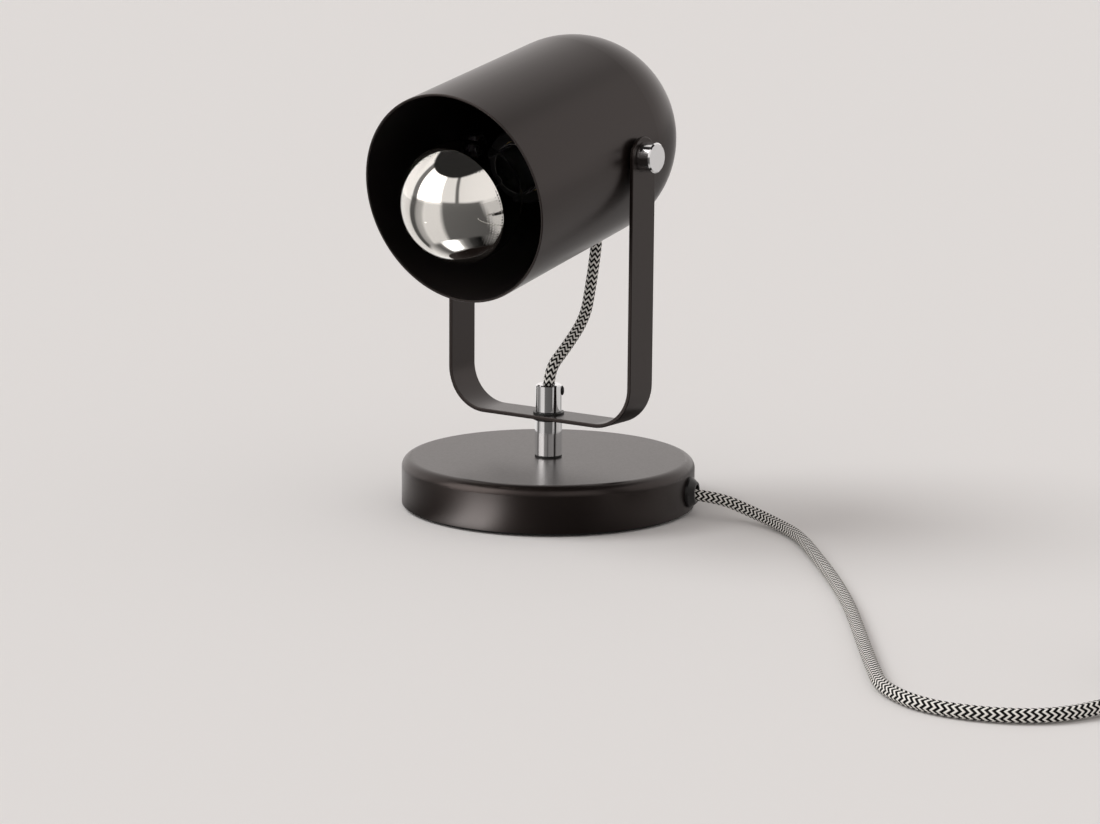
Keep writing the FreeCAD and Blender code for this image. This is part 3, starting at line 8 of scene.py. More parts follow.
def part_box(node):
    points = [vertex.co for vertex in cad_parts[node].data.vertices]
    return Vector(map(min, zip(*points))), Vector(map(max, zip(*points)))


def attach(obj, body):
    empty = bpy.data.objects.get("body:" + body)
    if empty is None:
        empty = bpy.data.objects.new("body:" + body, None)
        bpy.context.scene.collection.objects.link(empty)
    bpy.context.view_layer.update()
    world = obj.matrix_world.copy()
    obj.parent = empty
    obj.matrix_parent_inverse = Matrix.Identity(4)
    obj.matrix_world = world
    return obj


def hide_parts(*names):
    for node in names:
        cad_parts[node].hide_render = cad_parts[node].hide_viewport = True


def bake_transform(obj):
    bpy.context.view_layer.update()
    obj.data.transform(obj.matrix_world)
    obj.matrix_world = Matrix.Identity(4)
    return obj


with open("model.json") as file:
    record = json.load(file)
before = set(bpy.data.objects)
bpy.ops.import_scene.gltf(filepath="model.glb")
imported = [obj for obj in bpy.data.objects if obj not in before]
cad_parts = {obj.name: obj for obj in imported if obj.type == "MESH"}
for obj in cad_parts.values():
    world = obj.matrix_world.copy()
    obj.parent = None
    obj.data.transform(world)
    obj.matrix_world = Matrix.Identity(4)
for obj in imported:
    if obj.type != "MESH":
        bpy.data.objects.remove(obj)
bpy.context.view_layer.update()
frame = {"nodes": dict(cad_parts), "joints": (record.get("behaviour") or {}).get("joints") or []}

# The lamp's look: a material for each CAD node, and the two textile cords with their braid. The
# lamp stands on a plain pale floor, in a simple room that its shiny parts reflect. Lengths are metres.

MM = 0.001
nodes = frame["nodes"]

# ---------------------------------------------------------------- camera, floor and sun

# The camera stands where the photograph was taken from.
CAMERA_PLACE = (0.8474, -1.2157, 0.3347)
CAMERA_RIGHT = (0.81977, 0.57264, 0.00761)
CAMERA_UP = (-0.11496, 0.15152, 0.98175)
CAMERA_LENS = 96.74
CAMERA_NEAR, CAMERA_FAR = 0.01, 60.0
SENSOR_WIDTH = 36.0

FLOOR_REACH = 24.0
FLOOR_DROP = 0.1 * MM  # below the lamp's foot, so that the two don't share a plane
FLOOR_COLOUR = (0.86, 0.845, 0.835)
FLOOR_ROUGHNESS = 0.9
FLOOR_GLOSS = 0.1

SUN_PLACE = (-0.62, -0.30, 0.75)  # the direction that it shines from
SUN_STRENGTH = 1.3
SUN_SPREAD = 0.6

# ---------------------------------------------------------------- the room in reflections

# What metal, glass and lacquer reflect, as brightness by heading in degrees round the lamp: 0 is
# the camera's side, and more is towards the camera's right. A pale wall stands behind the lamp.
# Ahead are a window on the left, a dark curtain on the right and a dark ceiling.
FRONT = (0.5708, -0.8211, 0.0)
SIDE = (0.8211, 0.5708, 0.0)
UPWARD = (0.0, 0.0, 1.0)
ROOM_COLOUR = (1, 0.952, 0.928, 1)
BRIGHTEST = 8.0
WORLD_LEVEL = 0.55  # of the even light on the lamp
CEILING_LEVEL = 0.022
WALL_TOP_LEVEL = 0.8  # of the pale wall, well above the lamp
WALL_STOPS = [
    (-180, 1.0), (-107, 1.0), (-103, 0.18), (-93, 0.18), (-89, 2.8), (-60, 3.4), (-42, 3.4),
    (-35, 0.8), (-11, 0.8), (-8, 0.15), (-4, 0.15), (-1, 0.8), (44, 0.9), (47, 0.02),
    (61, 0.02), (66, 0.8), (90, 0.9), (137, 0.9), (150, 1.0), (180, 1.0),
]
FLOOR_STOPS = [
    (-180, 1.25), (-130, 1.10), (-110, 0.95), (-104, 0.10), (-94, 0.10), (-88, 0.45), (-76, 0.60),
    (-70, 1.0), (-40, 1.0), (-32, 0.16), (30, 0.12), (36, 0.75), (47, 0.75), (51, 0.01),
    (66, 0.01), (72, 0.85), (118, 0.85), (128, 0.55), (150, 0.50), (163, 1.10), (180, 1.25),
]
# Painted light and shade of the floor close round the base, seen only in reflections. Above 1 it is a
# painted shine of a window on the table, which the floor gives off as a glow.
PAINTED_NEAR_STOPS = [
    (-180, 1.3), (-125, 1.3), (-108, 1.1), (-89, 0.7), (-77, 0.35), (-66, 0.15), (-58, 0.3),
    (-49, 3.0), (-42, 7.8), (-30, 8.0), (-24, 2.8), (-19, 0.85), (-12, 0.28), (0, 0.06),
    (16, 0.0), (29, 0.25), (42, 0.65), (55, 1.0), (68, 1.1), (80, 0.7), (110, 0.7),
    (130, 0.5), (160, 0.5), (170, 1.0), (180, 1.3),
]
# Distances from the lamp's axis, over which the near floor's painted light ends and the painted shine
# begins.
NEAR_END = (0.135, 0.16)
PAINTED_SHINE_START = (0.076, 0.090)
PAINTED_SHINE_COLOUR = (0.82, 0.85, 0.86, 1)
# How far upward a ray points where the wall starts, where it dims, and where the ceiling starts.
WALL_FOOT = (0.02, 0.12)
WALL_DIMMING = (0.30, 0.75)
CEILING_EDGE = (0.74, 0.78)
# How far forward a ray points where the ceiling turns dark.
AHEAD = (-0.45, -0.30)

# ---------------------------------------------------------------- the shade and its mirror

# The shade's axis runs from the pivot towards the rim, and its dome starts behind the pivot. The
# sizes are those of the CAD source.
pivot_height = next(j for j in frame["joints"] if j["name"] == "head_tilt")["pos_m"][2]
pivot = Vector((0, 0, pivot_height))
SHADE_TILT = math.radians(12.0)
SHADE_AXIS = (0.0, -math.cos(SHADE_TILT), -math.sin(SHADE_TILT))
DOME_SETBACK = 20.0 * MM
SHADE_RADIUS = 52.5 * MM
SHADE_SKIN = 0.7 * MM  # what lies deeper than this is the inside
COAT_COLOUR = (0.0074, 0.0050, 0.0044)
COAT_TINT = (1.0, 0.87, 0.83, 1)
COAT_ROUGHNESS = 0.30
# The inside's colour is painted darker than the coat, as painted shadow in the shade's hollow.
INSIDE_COLOUR_WITH_PAINTED_SHADOW = (0.0022, 0.0018, 0.0016)
INSIDE_ROUGHNESS = 0.62

# Towards its rear edge the mirror's normals turn forward, by a share of the axis: more on its right
# and top than elsewhere. The pairs are ranges of the normal, over which its right and its top begin
# and its rear ends.
LIP_TURN = 0.36
LIP_TURN_ELSEWHERE = 0.08
LIP_RIGHT = (0.15, 0.60)
LIP_TOP = (0.10, 0.60)
LIP_REAR = (0.0, 0.75)

# The range that most of a noise texture's values lie in.
NOISE_SPAN = (0.35, 0.65)

# ---------------------------------------------------------------- cord facts and routes

CORD_DIAMETER = 6.0 * MM

# The braid: zigzag bands of black and white yarn, each band a row of slanted floats.
BRAID_PITCH = 2.85 * MM
BRAID_TEETH = 6
BRAID_SWING = 0.65  # height of the zigzag, in pitches
BRAID_RELIEF = 0.24 * MM
BRAID_SIDES = 4 * BRAID_TEETH
BRAID_RINGS = 6  # in each pitch
# Painted shade: the braid's colour is painted darker between two bands.
GROOVE_PAINTED_SHADE = 0.78  # how dark the braid is between two bands
GROOVE_SHARE = 0.45  # of the way from there up to a band's crown, over which it brightens
FIBRES = 8.0  # fine ridges in each pitch
BLACK_YARN = (0.009, 0.008, 0.008)
WHITE_YARN = (0.92, 0.90, 0.86)
YARN_STOPS = [(0.0, WHITE_YARN), (0.02, BLACK_YARN), (0.53, BLACK_YARN), (0.55, WHITE_YARN)]

# From inside the gland, across the table, through the switch and up to the coil.
CORD_ROUTE = [
    (0.0684, 0.0209, 0.0107), (0.0860, 0.0263, 0.0103), (0.1050, 0.0270, 0.0054),
    (0.1240, 0.0200, 0.0031), (0.1470, 0.0035, 0.0031), (0.1740, -0.0275, 0.0031),
    (0.2020, -0.0605, 0.0031), (0.2310, -0.0975, 0.0031), (0.2620, -0.1425, 0.0031),
    (0.2900, -0.1830, 0.0031), (0.3070, -0.2060, 0.0031), (0.3330, -0.2180, 0.0031),
    (0.3620, -0.2120, 0.0031), (0.3830, -0.1950, 0.0031), (0.3950, -0.1620, 0.0042),
    (0.3960, -0.1430, 0.0093), (0.3960, -0.1255, 0.0095), (0.3960, -0.0685, 0.0095),
    (0.3960, -0.0545, 0.0093), (0.3958, -0.0420, 0.0042),
]
# From the coil to the plug.
TAIL_ROUTE = [
    (0.4712, -0.0310, 0.0130), (0.4706, -0.0520, 0.0060), (0.4660, -0.0680, 0.0042),
    (0.4584, -0.0840, 0.0054), (0.4570, -0.1150, 0.00685),
]
# From the grip on the stem to the inside of the shade.
JUMPER_ROUTE = [
    (0.0, 0.0, 0.0571), (-0.0003, -0.0004, 0.0690), (0.0, 0.0155, 0.0794),
    (0.0, 0.0324, 0.0924), (0.0, 0.0372, 0.1085), (0.0, 0.0404, 0.1215),
    (0.0, 0.0428, 0.1342), (0.0, 0.0380, 0.1456), (0.0, 0.0395, 0.1597),
]

coil_low, coil_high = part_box("cord_coil")
COIL_MIDDLE = ((coil_low[0] + coil_high[0]) / 2, (coil_low[1] + coil_high[1]) / 2)
COIL_RADIUS = (coil_high[0] - coil_low[0]) / 2 - 1.5 * CORD_DIAMETER
COIL_TURNS = 5.5
COIL_LIFT = 0.1 * MM  # of the lowest turns above the table
COIL_CROSSING = 1.0 * MM  # rise of the cord's last turn where it rolls over its neighbour
COIL_SHIFT = 0.75  # share of a turn after which the cord moves over to the next
TURN_POINTS = 14

# Spacing of the points that are read from a route's spline.
SPLINE_STEPS = 16
LEAST_STEP = 0.05 * MM

scene = bpy.context.scene
scene.view_settings.view_transform = "Standard"


# ---------------------------------------------------------------- shader nodes

def feed(tree, socket, value):
    """Link an output to a node's socket, or set the socket to a plain value."""
    if isinstance(value, bpy.types.NodeSocket):
        tree.links.new(value, socket)
    else:
        socket.default_value = value


def add_node(tree, kind, **values):
    """A new node. The values are its properties, or its inputs with _ for a space."""
    node = tree.nodes.new("ShaderNode" + kind)
    for key, value in values.items():
        if hasattr(node, key):
            setattr(node, key, value)
        else:
            feed(tree, node.inputs[key.replace("_", " ")], value)
    return node


def calculate(tree, operation, *values):
    """The result of a Math node on numbers or outputs."""
    node = add_node(tree, "Math", operation=operation)
    for socket, value in zip(node.inputs, values):
        feed(tree, socket, value)
    return node.outputs[0]


def vector_math(tree, operation, *vectors):
    """The results of a Vector Math node on fixed vectors or outputs."""
    node = add_node(tree, "VectorMath", operation=operation)
    for socket, vector in zip(node.inputs, vectors):
        feed(tree, socket, vector)
    return node.outputs


def scaled(tree, vector, scale):
    """A fixed vector or colour times a number output."""
    node = add_node(tree, "VectorMath", operation="SCALE", Scale=scale)
    node.inputs[0].default_value = vector
    return node.outputs["Vector"]


def along_vector(tree, source, vector):
    """The part of a vector output that runs along a fixed vector."""
    return vector_math(tree, "DOT_PRODUCT", source, vector)["Value"]


def between(tree, source, low, high):
    """0 below the low value, 1 above the high one, and smooth between them."""
    node = add_node(
        tree, "MapRange", interpolation_type="SMOOTHSTEP", Value=source, From_Min=low, From_Max=high,
    )
    return node.outputs["Result"]


def blended(tree, share, first, second):
    """first + (second - first) * share, for numbers."""
    change = calculate(tree, "SUBTRACT", second, first)
    return calculate(tree, "MULTIPLY_ADD", change, share, first)


def mixed(tree, share, first, second, way="MIX"):
    """Two colours, mixed by a share or in another of the Mix node's ways."""
    node = add_node(tree, "Mix", data_type="RGBA", blend_type=way, Factor=share, A=first, B=second)
    return node.outputs["Result"]


def colour_ramp(tree, source, stops):
    """The colour that a ramp of (position, colour) stops has at a value."""
    ramp = add_node(tree, "ValToRGB", Fac=source)
    elements = ramp.color_ramp.elements
    while len(elements) < len(stops):
        elements.new(0.5)
    for element, (position, colour) in zip(elements, stops):
        element.position = position
        element.color = (*colour, 1)
    return ramp.outputs["Color"]


def by_heading(tree, source, stops):
    """Brightness of the room towards a vector, read from its heading round the lamp."""
    heading = calculate(
        tree, "ARCTAN2", along_vector(tree, source, SIDE), along_vector(tree, source, FRONT),
    )
    turn = calculate(tree, "MULTIPLY_ADD", heading, 1 / (2 * math.pi), 0.5)
    greys = [(degrees / 360 + 0.5, (level / BRIGHTEST,) * 3) for degrees, level in stops]
    return calculate(tree, "MULTIPLY", colour_ramp(tree, turn, greys), BRIGHTEST)


# ---------------------------------------------------------------- helpers for materials

def shaded(name, colour, roughness, metallic=0.0, **sockets):
    """A new Principled material. Further sockets are named with _ for a space."""
    material = bpy.data.materials.new(name)
    material.use_nodes = True
    shader = shader_of(material)
    shader.inputs["Base Color"].default_value = (*colour, 1)
    shader.inputs["Roughness"].default_value = roughness
    shader.inputs["Metallic"].default_value = metallic
    for socket, value in sockets.items():
        shader.inputs[socket.replace("_", " ")].default_value = value
    return material


def shader_of(material):
    return material.node_tree.nodes["Principled BSDF"]


def link_look(material, socket, output):
    """Link an output to a socket of the material's shader."""
    feed(material.node_tree, shader_of(material).inputs[socket], output)


def object_point(tree):
    return add_node(tree, "TexCoord").outputs["Object"]


def grain(material, per_metre, strength, depth, detail=2.0):
    """Fine relief from noise in the object's own space, on top of any relief before it."""
    tree = material.node_tree
    noise = add_node(tree, "TexNoise", Scale=per_metre, Detail=detail, Vector=object_point(tree))
    bump = add_node(tree, "Bump", Strength=strength, Distance=depth, Height=noise.outputs["Fac"])
    earlier = shader_of(material).inputs["Normal"].links
    if earlier:
        feed(tree, bump.inputs["Normal"], earlier[0].from_socket)
    link_look(material, "Normal", bump.outputs["Normal"])


def vary(material, socket, low, high, per_metre):
    """A socket that drifts between two values or colours over the surface."""
    tree = material.node_tree
    noise = add_node(tree, "TexNoise", Scale=per_metre, Detail=3.0, Vector=object_point(tree))
    ends = [value if isinstance(value, tuple) else (value,) * 3 for value in (low, high)]
    stops = list(zip(NOISE_SPAN, ends))
    link_look(material, socket, colour_ramp(tree, noise.outputs["Fac"], stops))


# ---------------------------------------------------------------- camera, floor and light

def link_object(name, data):
    item = bpy.data.objects.new(name, data)
    scene.collection.objects.link(item)
    return item


def add_camera():
    data = bpy.data.cameras.new("camera")
    data.sensor_width = SENSOR_WIDTH
    data.lens = CAMERA_LENS
    data.clip_start = CAMERA_NEAR
    data.clip_end = CAMERA_FAR
    data.dof.use_dof = False
    camera = link_object("camera", data)
    right = Vector(CAMERA_RIGHT).normalized()
    back = right.cross(Vector(CAMERA_UP)).normalized()
    up = back.cross(right)
    turn = Matrix((right, up, back)).transposed().to_4x4()
    camera.matrix_world = Matrix.Translation(CAMERA_PLACE) @ turn
    scene.camera = camera


def floor_look():
    """Plain and pale. In reflections it has painted light and shade of a room, and a painted glowing
    shine of a window.
    """
    material = shaded("floor", FLOOR_COLOUR, FLOOR_ROUGHNESS, Specular_IOR_Level=FLOOR_GLOSS,
                      Emission_Color=PAINTED_SHINE_COLOUR)
    tree = material.node_tree
    mirrored = add_node(tree, "LightPath").outputs["Is Glossy Ray"]
    place = object_point(tree)
    away = vector_math(tree, "LENGTH", place)["Value"]
    far = between(tree, away, *NEAR_END)
    painted_near_level = by_heading(tree, place, PAINTED_NEAR_STOPS)
    level = blended(tree, far, painted_near_level, by_heading(tree, place, FLOOR_STOPS))
    # Painted light and shade: for reflection rays, the floor's colour is scaled by the room's
    # brightness by heading.
    painted_reflection_level = blended(tree, mirrored, 1.0, calculate(tree, "MINIMUM", level, 1.0))
    link_look(material, "Base Color", scaled(tree, FLOOR_COLOUR, painted_reflection_level))
    # Painted shine: a glow, seen only in reflections, where the level is above 1.
    painted_shine = calculate(tree, "MAXIMUM", calculate(tree, "SUBTRACT", level, 1.0), 0.0)
    painted_shine = calculate(tree, "MULTIPLY", painted_shine, mirrored)
    painted_shine = calculate(tree, "MULTIPLY", painted_shine, between(tree, away, *PAINTED_SHINE_START))
    link_look(material, "Emission Strength", painted_shine)
    return material


def add_floor():
    mesh = bpy.data.meshes.new("floor")
    signs = [(-1, -1), (1, -1), (1, 1), (-1, 1)]
    corners = [(x * FLOOR_REACH, y * FLOOR_REACH, -FLOOR_DROP) for x, y in signs]
    mesh.from_pydata(corners, [], [(0, 1, 2, 3)])
    mesh.materials.append(floor_look())
    link_object("floor", mesh)


def add_sun():
    """A soft sun that isn't mirrored in metal or seen through glass."""
    data = bpy.data.lights.new("sun", "SUN")
    data.energy = SUN_STRENGTH
    data.angle = SUN_SPREAD
    light = link_object("sun", data)
    light.matrix_world = Vector(SUN_PLACE).to_track_quat("Z", "Y").to_matrix().to_4x4()
    light.visible_glossy = False
    light.visible_transmission = False


def add_world():
    """White to the camera, one even level for diffuse light, and the room for reflections."""
    world = bpy.data.worlds.new("world")
    scene.world = world
    world.use_nodes = True
    tree = world.node_tree
    background = tree.nodes["Background"]
    background.inputs["Color"].default_value = ROOM_COLOUR
    way = add_node(tree, "TexCoord").outputs["Generated"]
    height = along_vector(tree, way, UPWARD)
    ahead = between(tree, along_vector(tree, way, FRONT), *AHEAD)
    behind = calculate(tree, "SUBTRACT", 1.0, ahead)
    floor = by_heading(tree, way, FLOOR_STOPS)
    wall = by_heading(tree, way, WALL_STOPS)
    room = blended(tree, between(tree, height, *WALL_FOOT), floor, wall)
    dimming = calculate(tree, "MULTIPLY", behind, between(tree, height, *WALL_DIMMING))
    room = blended(tree, dimming, room, WALL_TOP_LEVEL)
    ceiling = calculate(tree, "MULTIPLY", ahead, between(tree, height, *CEILING_EDGE))
    room = blended(tree, ceiling, room, CEILING_LEVEL)
    path = add_node(tree, "LightPath").outputs
    mirrored = calculate(tree, "MAXIMUM", path["Is Glossy Ray"], path["Is Transmission Ray"])
    level = blended(tree, mirrored, WORLD_LEVEL, room)
    level = blended(tree, path["Is Camera Ray"], level, 1.0)
    feed(tree, background.inputs["Strength"], level)


# ---------------------------------------------------------------- coats and plating

def coat_grain(material):
    """The powder coat's fine tooth, on a slower ripple."""
    grain(material, 2600, 0.10, 0.02 * MM)
    grain(material, 700, 0.05, 0.03 * MM)


def powder_coat():
    material = shaded("powder coat", COAT_COLOUR, COAT_ROUGHNESS, Specular_Tint=COAT_TINT)
    vary(material, "Roughness", 0.29, 0.32, 900)
    coat_grain(material)
    return material


def shade_coat():
    """Powder coat outside, and a dead matt black inside, painted darker than the outside coat as
    painted shadow, told apart by distance from the axis.
    """
    material = shaded("shade coat", COAT_COLOUR, COAT_ROUGHNESS, Specular_Tint=COAT_TINT)
    tree = material.node_tree
    arm = vector_math(tree, "SUBTRACT", object_point(tree), pivot)["Vector"]
    ahead = calculate(tree, "MAXIMUM", along_vector(tree, arm, SHADE_AXIS), -DOME_SETBACK)
    away = vector_math(tree, "DISTANCE", arm, scaled(tree, SHADE_AXIS, ahead))["Value"]
    outside = calculate(tree, "GREATER_THAN", away, SHADE_RADIUS - SHADE_SKIN)
    # Painted shadow: the inside gets a darker colour than the outside coat.
    link_look(material, "Base Color", mixed(tree, outside, (*INSIDE_COLOUR_WITH_PAINTED_SHADOW, 1), (*COAT_COLOUR, 1)))
    link_look(material, "Roughness", blended(tree, outside, INSIDE_ROUGHNESS, COAT_ROUGHNESS))
    coat_grain(material)
    return material


def chrome():
    material = shaded("chrome", (0.86, 0.87, 0.88), 0.07, metallic=1.0)
    grain(material, 900, 0.02, 0.02 * MM)
    return material


def zinc():
    material = shaded("zinc plate", (0.60, 0.61, 0.63), 0.30, metallic=1.0)
    vary(material, "Roughness", 0.24, 0.42, 240)
    return material


def black_oxide():
    material = shaded("black oxide", (0.03, 0.03, 0.03), 0.38, metallic=0.4)
    grain(material, 1500, 0.12, 0.04 * MM)
    return material


def brass():
    material = shaded("brass", (0.72, 0.56, 0.28), 0.24, metallic=1.0)
    vary(material, "Roughness", 0.18, 0.34, 300)
    return material


def nickel():
    material = shaded("nickel", (0.72, 0.70, 0.66), 0.18, metallic=1.0)
    vary(material, "Roughness", 0.14, 0.26, 300)
    return material


def nickel_painted_dark():
    """The bulb's cap: dull nickel, painted dark as painted shade, so that the dark of the shade
    swallows it.
    """
    material = shaded("nickel painted dark", (0.12, 0.115, 0.11), 0.45, metallic=1.0)
    vary(material, "Roughness", 0.40, 0.52, 300)
    return material


def iron():
    material = shaded("cast iron", (0.10, 0.095, 0.09), 0.62, metallic=0.6)
    grain(material, 500, 0.7, 0.4 * MM, detail=6.0)
    return material


def tungsten():
    material = shaded("tungsten", (0.30, 0.30, 0.31), 0.35, metallic=1.0)
    grain(material, 2500, 0.2, 0.05 * MM)
    return material


# ---------------------------------------------------------------- plastics, rubber and ceramic

def plastic():
    material = shaded("black plastic", (0.008, 0.007, 0.007), 0.36)
    grain(material, 1200, 0.12, 0.03 * MM)
    return material


def matt_black():
    """The lampholder's shell and bracket, lost in the dark of the shade."""
    material = shaded("matt black", (0.004, 0.0035, 0.0035), 0.60, Specular_IOR_Level=0.15)
    grain(material, 1200, 0.12, 0.03 * MM)
    return material


def rubber():
    material = shaded("black rubber", (0.020, 0.020, 0.020), 0.62)
    grain(material, 900, 0.20, 0.06 * MM)
    return material


def foam():
    material = shaded("foot foam", (0.035, 0.035, 0.035), 0.85)
    grain(material, 1400, 0.6, 0.2 * MM, detail=4.0)
    return material


def nylon():
    material = shaded("natural nylon", (0.80, 0.79, 0.72), 0.42, Subsurface_Weight=0.15)
    grain(material, 700, 0.1, 0.05 * MM)
    return material


def ceramic():
    material = shaded("ceramic", (0.84, 0.82, 0.76), 0.18, Coat_Weight=0.6)
    vary(material, "Base Color", (0.80, 0.77, 0.70), (0.86, 0.84, 0.79), 120)
    return material


def sheath():
    material = shaded("core sheath", (0.40, 0.17, 0.08), 0.42)
    vary(material, "Base Color", (0.36, 0.15, 0.07), (0.44, 0.20, 0.10), 90)
    return material


# ---------------------------------------------------------------- glass and mirror

def vitrite():
    material = shaded("vitrite", (0.012, 0.012, 0.020), 0.15, Coat_Weight=0.8)
    grain(material, 600, 0.05, 0.05 * MM)
    return material


def clear_glass():
    """Thin bulb glass. It mirrors less than solid glass would, so that the shade stays dark."""
    material = shaded("clear glass", (1, 1, 1), 0.0, Transmission_Weight=1.0, IOR=1.12,
                      Specular_Tint=(0.4, 0.4, 0.4, 1))
    grain(material, 60, 0.02, 0.05 * MM)
    return material


def silver():
    """Crown mirror. Near its edge the coat turns a little forward, out of the shade."""
    material = shaded("silvering", (0.90, 0.89, 0.85), 0.02, metallic=1.0)
    tree = material.node_tree
    normal = add_node(tree, "TexCoord").outputs["Normal"]
    right = between(tree, along_vector(tree, normal, (1.0, 0.0, 0.0)), *LIP_RIGHT)
    top = between(tree, along_vector(tree, normal, UPWARD), *LIP_TOP)
    side = calculate(tree, "MAXIMUM", right, top)
    most = blended(tree, side, LIP_TURN_ELSEWHERE, LIP_TURN)
    ahead = between(tree, along_vector(tree, normal, SHADE_AXIS), *LIP_REAR)
    turn = calculate(tree, "MULTIPLY", most, calculate(tree, "SUBTRACT", 1.0, ahead))
    turned = vector_math(tree, "ADD", normal, scaled(tree, SHADE_AXIS, turn))["Vector"]
    placed = add_node(tree, "VectorTransform", vector_type="NORMAL", convert_from="OBJECT",
                      convert_to="WORLD", Vector=turned)
    link_look(material, "Normal", placed.outputs["Vector"])
    grain(material, 70, 0.03, 0.2 * MM)
    return material


# ---------------------------------------------------------------- braid

def braid():
    """Zigzag bands of black and white yarn on the UV of the braided tube, with painted shade between
    the bands.
    """
    material = shaded("zigzag braid", (0.5, 0.5, 0.5), 0.8, Specular_IOR_Level=0.12)
    tree = material.node_tree
    place = add_node(tree, "UVMap", uv_map="braid").outputs["UV"]
    plan = add_node(tree, "SeparateXYZ", Vector=place).outputs
    teeth = calculate(tree, "MULTIPLY", plan["Y"], BRAID_TEETH)
    zigzag = calculate(tree, "PINGPONG", teeth, 0.5)
    phase = calculate(tree, "MULTIPLY_ADD", zigzag, 2 * BRAID_SWING, plan["X"])
    bands = colour_ramp(tree, calculate(tree, "FRACT", phase), YARN_STOPS)
    # 0 where two bands meet, 1 on the crown of each.
    crown = calculate(tree, "MULTIPLY", calculate(tree, "PINGPONG", phase, 0.25), 4.0)
    # Painted shade: darker towards where two bands meet.
    painted_groove_shade = add_node(tree, "MapRange", Value=crown, From_Max=GROOVE_SHARE, To_Min=GROOVE_PAINTED_SHADE)
    with_painted_groove_shade = mixed(tree, 1.0, bands, painted_groove_shade.outputs["Result"], way="MULTIPLY")
    link_look(material, "Base Color", with_painted_groove_shade)
    fibres = calculate(tree, "PINGPONG", calculate(tree, "MULTIPLY", phase, FIBRES), 0.5)
    bump = add_node(tree, "Bump", Strength=0.35, Distance=0.06 * MM, Height=fibres)
    link_look(material, "Normal", bump.outputs["Normal"])
    grain(material, 3200, 0.3, 0.06 * MM)
    return material


def yarn_depth(stations):
    """How deep the braid's surface lies below its crowns, by ring and by side."""
    teeth = np.arange(BRAID_SIDES) / BRAID_SIDES * BRAID_TEETH
    zigzag = 2 * BRAID_SWING * (0.5 - np.abs(teeth % 1 - 0.5))
    phase = stations[:, None] / BRAID_PITCH + zigzag[None, :]
    yarn = np.sqrt(np.abs(np.sin(2 * math.pi * phase)))
    float_rise = 0.5 + 0.5 * np.sqrt(np.abs(np.sin(2 * math.pi * teeth)))
    return BRAID_RELIEF * (1 - yarn * float_rise[None, :])


# ---------------------------------------------------------------- tubes along a route

def centreline(points):
    """Points along the smooth line whose control points are the route."""
    curve = bpy.data.curves.new("route", "CURVE")
    curve.dimensions = "3D"
    curve.resolution_u = SPLINE_STEPS
    spline = curve.splines.new("NURBS")
    spline.points.add(len(points) - 1)
    for point, place in zip(spline.points, points):
        point.co = (*place, 1)
    spline.order_u = 3
    spline.use_endpoint_u = True
    holder = link_object("route", curve)
    bpy.context.view_layer.update()
    mesh = bpy.data.meshes.new_from_object(holder)
    line = [v.co.copy() for v in mesh.vertices]
    bpy.data.objects.remove(holder)
    bpy.data.curves.remove(curve)
    bpy.data.meshes.remove(mesh)
    kept = [line[0]]
    for place in line[1:]:
        if (place - kept[-1]).length > LEAST_STEP:
            kept.append(place)
    return kept


def stations_along(line, spacing):
    """Evenly spaced points along a line, and how far along it each of them is."""
    points = np.array(line)
    steps = np.linalg.norm(np.diff(points, axis=0), axis=1)
    runs = np.concatenate([[0.0], np.cumsum(steps)])
    stations = np.linspace(0.0, runs[-1], round(runs[-1] / spacing) + 1)
    places = [np.interp(stations, runs, points[:, axis]) for axis in range(3)]
    return np.stack(places, axis=1), stations


def across_line(points):
    """Two unit vectors across the line at each point, carried along it without twist."""
    heading = points[4:] - points[:-4]
    heading = np.concatenate([heading[:1], heading[:1], heading, heading[-1:], heading[-1:]])
    heading /= np.linalg.norm(heading, axis=1)[:, None]
    side = np.cross(heading[0], (0.3, 0.2, 0.9))  # any vector that no cord starts along
    sides = []
    for direction in heading:
        side = side - direction * np.dot(side, direction)
        side /= np.linalg.norm(side)
        sides.append(side)
    sides = np.array(sides)
    return sides, np.cross(heading, sides)


def braided_tube(name, line):
    """A tube of slanted yarn floats. Its UV runs in pitches along it and in turns round it."""
    points, stations = stations_along(line, BRAID_PITCH / BRAID_RINGS)
    side, over = across_line(points)
    rings, sides = len(points), BRAID_SIDES
    angle = 2 * math.pi * np.arange(sides) / sides
    ring = (np.cos(angle)[None, :, None] * side[:, None, :]
            + np.sin(angle)[None, :, None] * over[:, None, :])
    radius = CORD_DIAMETER / 2 - yarn_depth(stations)
    vertices = points[:, None, :] + radius[:, :, None] * ring
    i, k = np.meshgrid(np.arange(rings - 1), np.arange(sides), indexing="ij")
    nearby = (k + 1) % sides
    faces = np.stack([i * sides + k, i * sides + nearby,
                      (i + 1) * sides + nearby, (i + 1) * sides + k], axis=-1)
    ends = [list(range(sides))[::-1], list(range((rings - 1) * sides, rings * sides))]
    mesh = bpy.data.meshes.new(name)
    mesh.from_pydata(vertices.reshape(-1, 3), [], faces.reshape(-1, 4).tolist() + ends)
    along = stations / BRAID_PITCH
    u = np.stack([along[i], along[i], along[i + 1], along[i + 1]], axis=-1)
    v = np.stack([k, k + 1, k + 1, k], axis=-1) / sides
    on_ends = np.zeros((len(ends) * sides, 2))
    layer = mesh.uv_layers.new(name="braid")
    pairs = np.concatenate([np.stack([u, v], axis=-1).reshape(-1, 2), on_ends])
    layer.uv.foreach_set("vector", pairs.ravel())
    smooth = np.ones(len(mesh.polygons), dtype=bool)
    smooth[-len(ends):] = False
    mesh.polygons.foreach_set("use_smooth", smooth)
    return link_object(name, mesh)


# ---------------------------------------------------------------- cords

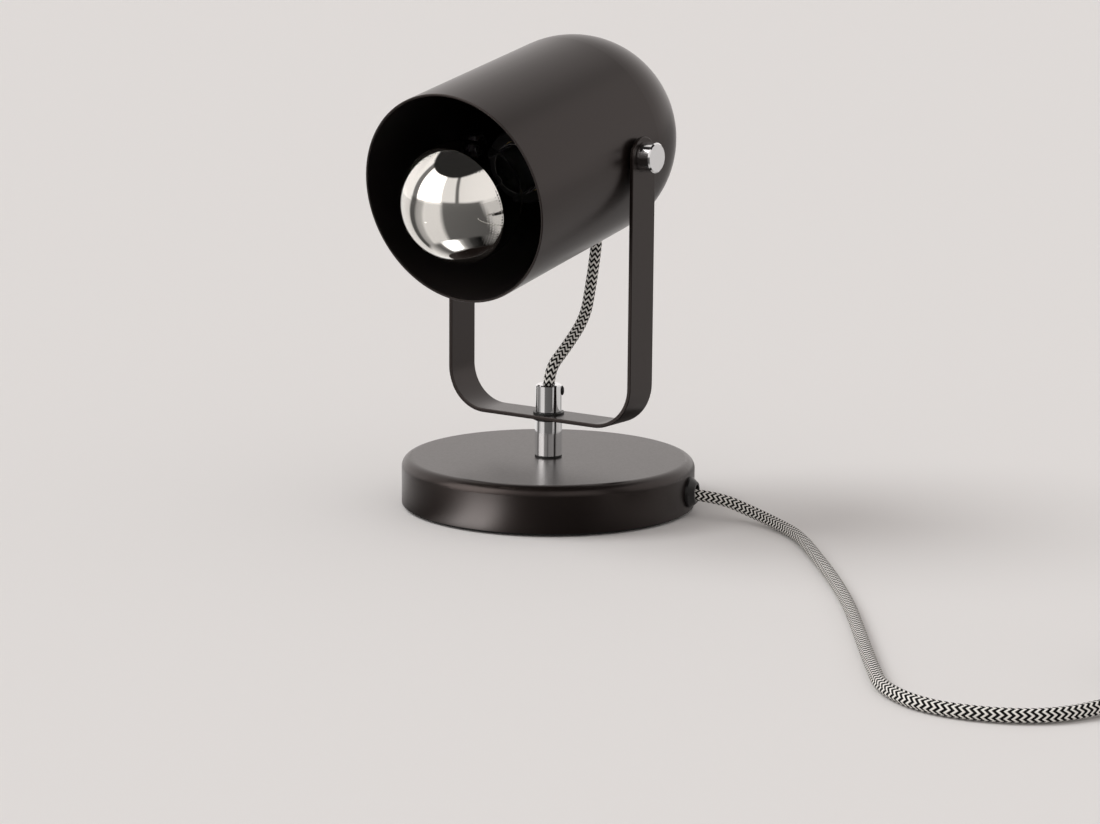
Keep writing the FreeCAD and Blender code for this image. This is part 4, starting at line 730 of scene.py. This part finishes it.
def coil_points():
    """The put-away cord: three turns on the table, two on them and half a turn on top.

    The top one stays under the tie, and past it the cord rolls outward over its neighbour."""
    d = CORD_DIAMETER
    rise = d * math.sqrt(0.75)
    low = d / 2 + COIL_LIFT
    middle, top = d / 2 + rise, d / 2 + 2 * rise
    turns = [
        (COIL_RADIUS + d, low), (COIL_RADIUS, low), (COIL_RADIUS - d, low),
        (COIL_RADIUS - d / 2, middle), (COIL_RADIUS + d / 2, middle), (COIL_RADIUS, top),
        (COIL_RADIUS + d / 2, top + COIL_CROSSING),
    ]
    # The spline runs a little inside its control points, so they stand wider.
    widen = 1 / (0.75 + 0.25 * math.cos(2 * math.pi / TURN_POINTS))
    count = int(TURN_POINTS * COIL_TURNS)
    points = []
    for k in range(count):
        index, step = divmod(k, TURN_POINTS)
        share = max(0.0, step / TURN_POINTS - COIL_SHIFT) / (1 - COIL_SHIFT)
        if k == count - 1:
            share = 1.0
        here, there = turns[index], turns[index + 1]
        radius = here[0] + (there[0] - here[0]) * share
        height = here[1] + (there[1] - here[1]) * share
        angle = math.pi - 2 * math.pi * k / TURN_POINTS
        points.append((
            COIL_MIDDLE[0] + radius * widen * math.cos(angle),
            COIL_MIDDLE[1] + radius * widen * math.sin(angle),
            height,
        ))
    return points


def braided_cord(name, route, look):
    """A braided tube along a route, and the line that it follows."""
    line = centreline(route)
    cord = braided_tube(name, line)
    cord.data.materials.append(look)
    return cord, line


def add_mains_cord(look):
    cord, line = braided_cord("mains_cord_braid", CORD_ROUTE + coil_points() + TAIL_ROUTE, look)
    cord.visible_glossy = False  # so that its coil isn't mirrored in the bulb
    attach(cord, "base")
    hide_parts("mains_cord", "cord_link", "cord_coil", "cord_tail")


def add_jumper_cord(look):
    jumper, line = braided_cord("jumper_cord_braid", JUMPER_ROUTE, look)
    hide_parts("jumper_cord")
    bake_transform(jumper)


# ---------------------------------------------------------------- materials on the CAD nodes

def dress(look, *names):
    for name in names:
        for place in nodes[name].material_slots:
            place.material = look


def dress_nodes(cord_look):
    dress(powder_coat(), "base_cover", "yoke_bar", "pivot_spacers")
    dress(shade_coat(), "shade")
    dress(chrome(), "lower_stem", "cord_grip", "clamp_knob_left", "clamp_knob_right")
    dress(zinc(), "bottom_plate", "plate_screws", "threaded_tube", "tube_nut", "tube_washer",
          "pivot_nuts", "holder_nipple", "nipple_nut", "switch_screws")
    dress(matt_black(), "holder_bracket", "holder_cap", "holder_skirt")
    dress(black_oxide(), "stem_washers", "grip_screw")
    dress(plastic(), "cord_gland", "gland_nut", "cord_ferrule", "switch_lower_half",
          "switch_upper_half", "switch_rocker", "plug_body")
    dress(rubber(), "stem_gasket", "shade_grommet", "coil_tie")
    dress(iron(), "base_weight")
    dress(foam(), "foot_pad")
    dress(brass(), "terminal_tubes", "terminal_screws", "switch_contacts", "holder_thread",
          "holder_contact")
    dress(nickel(), "bulb_contact", "plug_pins")
    # Painted shade: the cap's nickel is given a dark colour.
    dress(nickel_painted_dark(), "bulb_cap")
    dress(nylon(), "terminal_block")
    dress(ceramic(), "holder_core")
    dress(sheath(), "supply_cores", "lamp_cores", "head_cores")
    dress(vitrite(), "bulb_insulator")
    dress(clear_glass(), "bulb_glass", "bulb_stem")
    dress(silver(), "crown_mirror")
    dress(tungsten(), "filament")
    dress(cord_look, "sheathed_end")


add_camera()
add_floor()
add_world()
add_sun()
cord_look = braid()
add_mains_cord(cord_look)
add_jumper_cord(cord_look)
dress_nodes(cord_look)
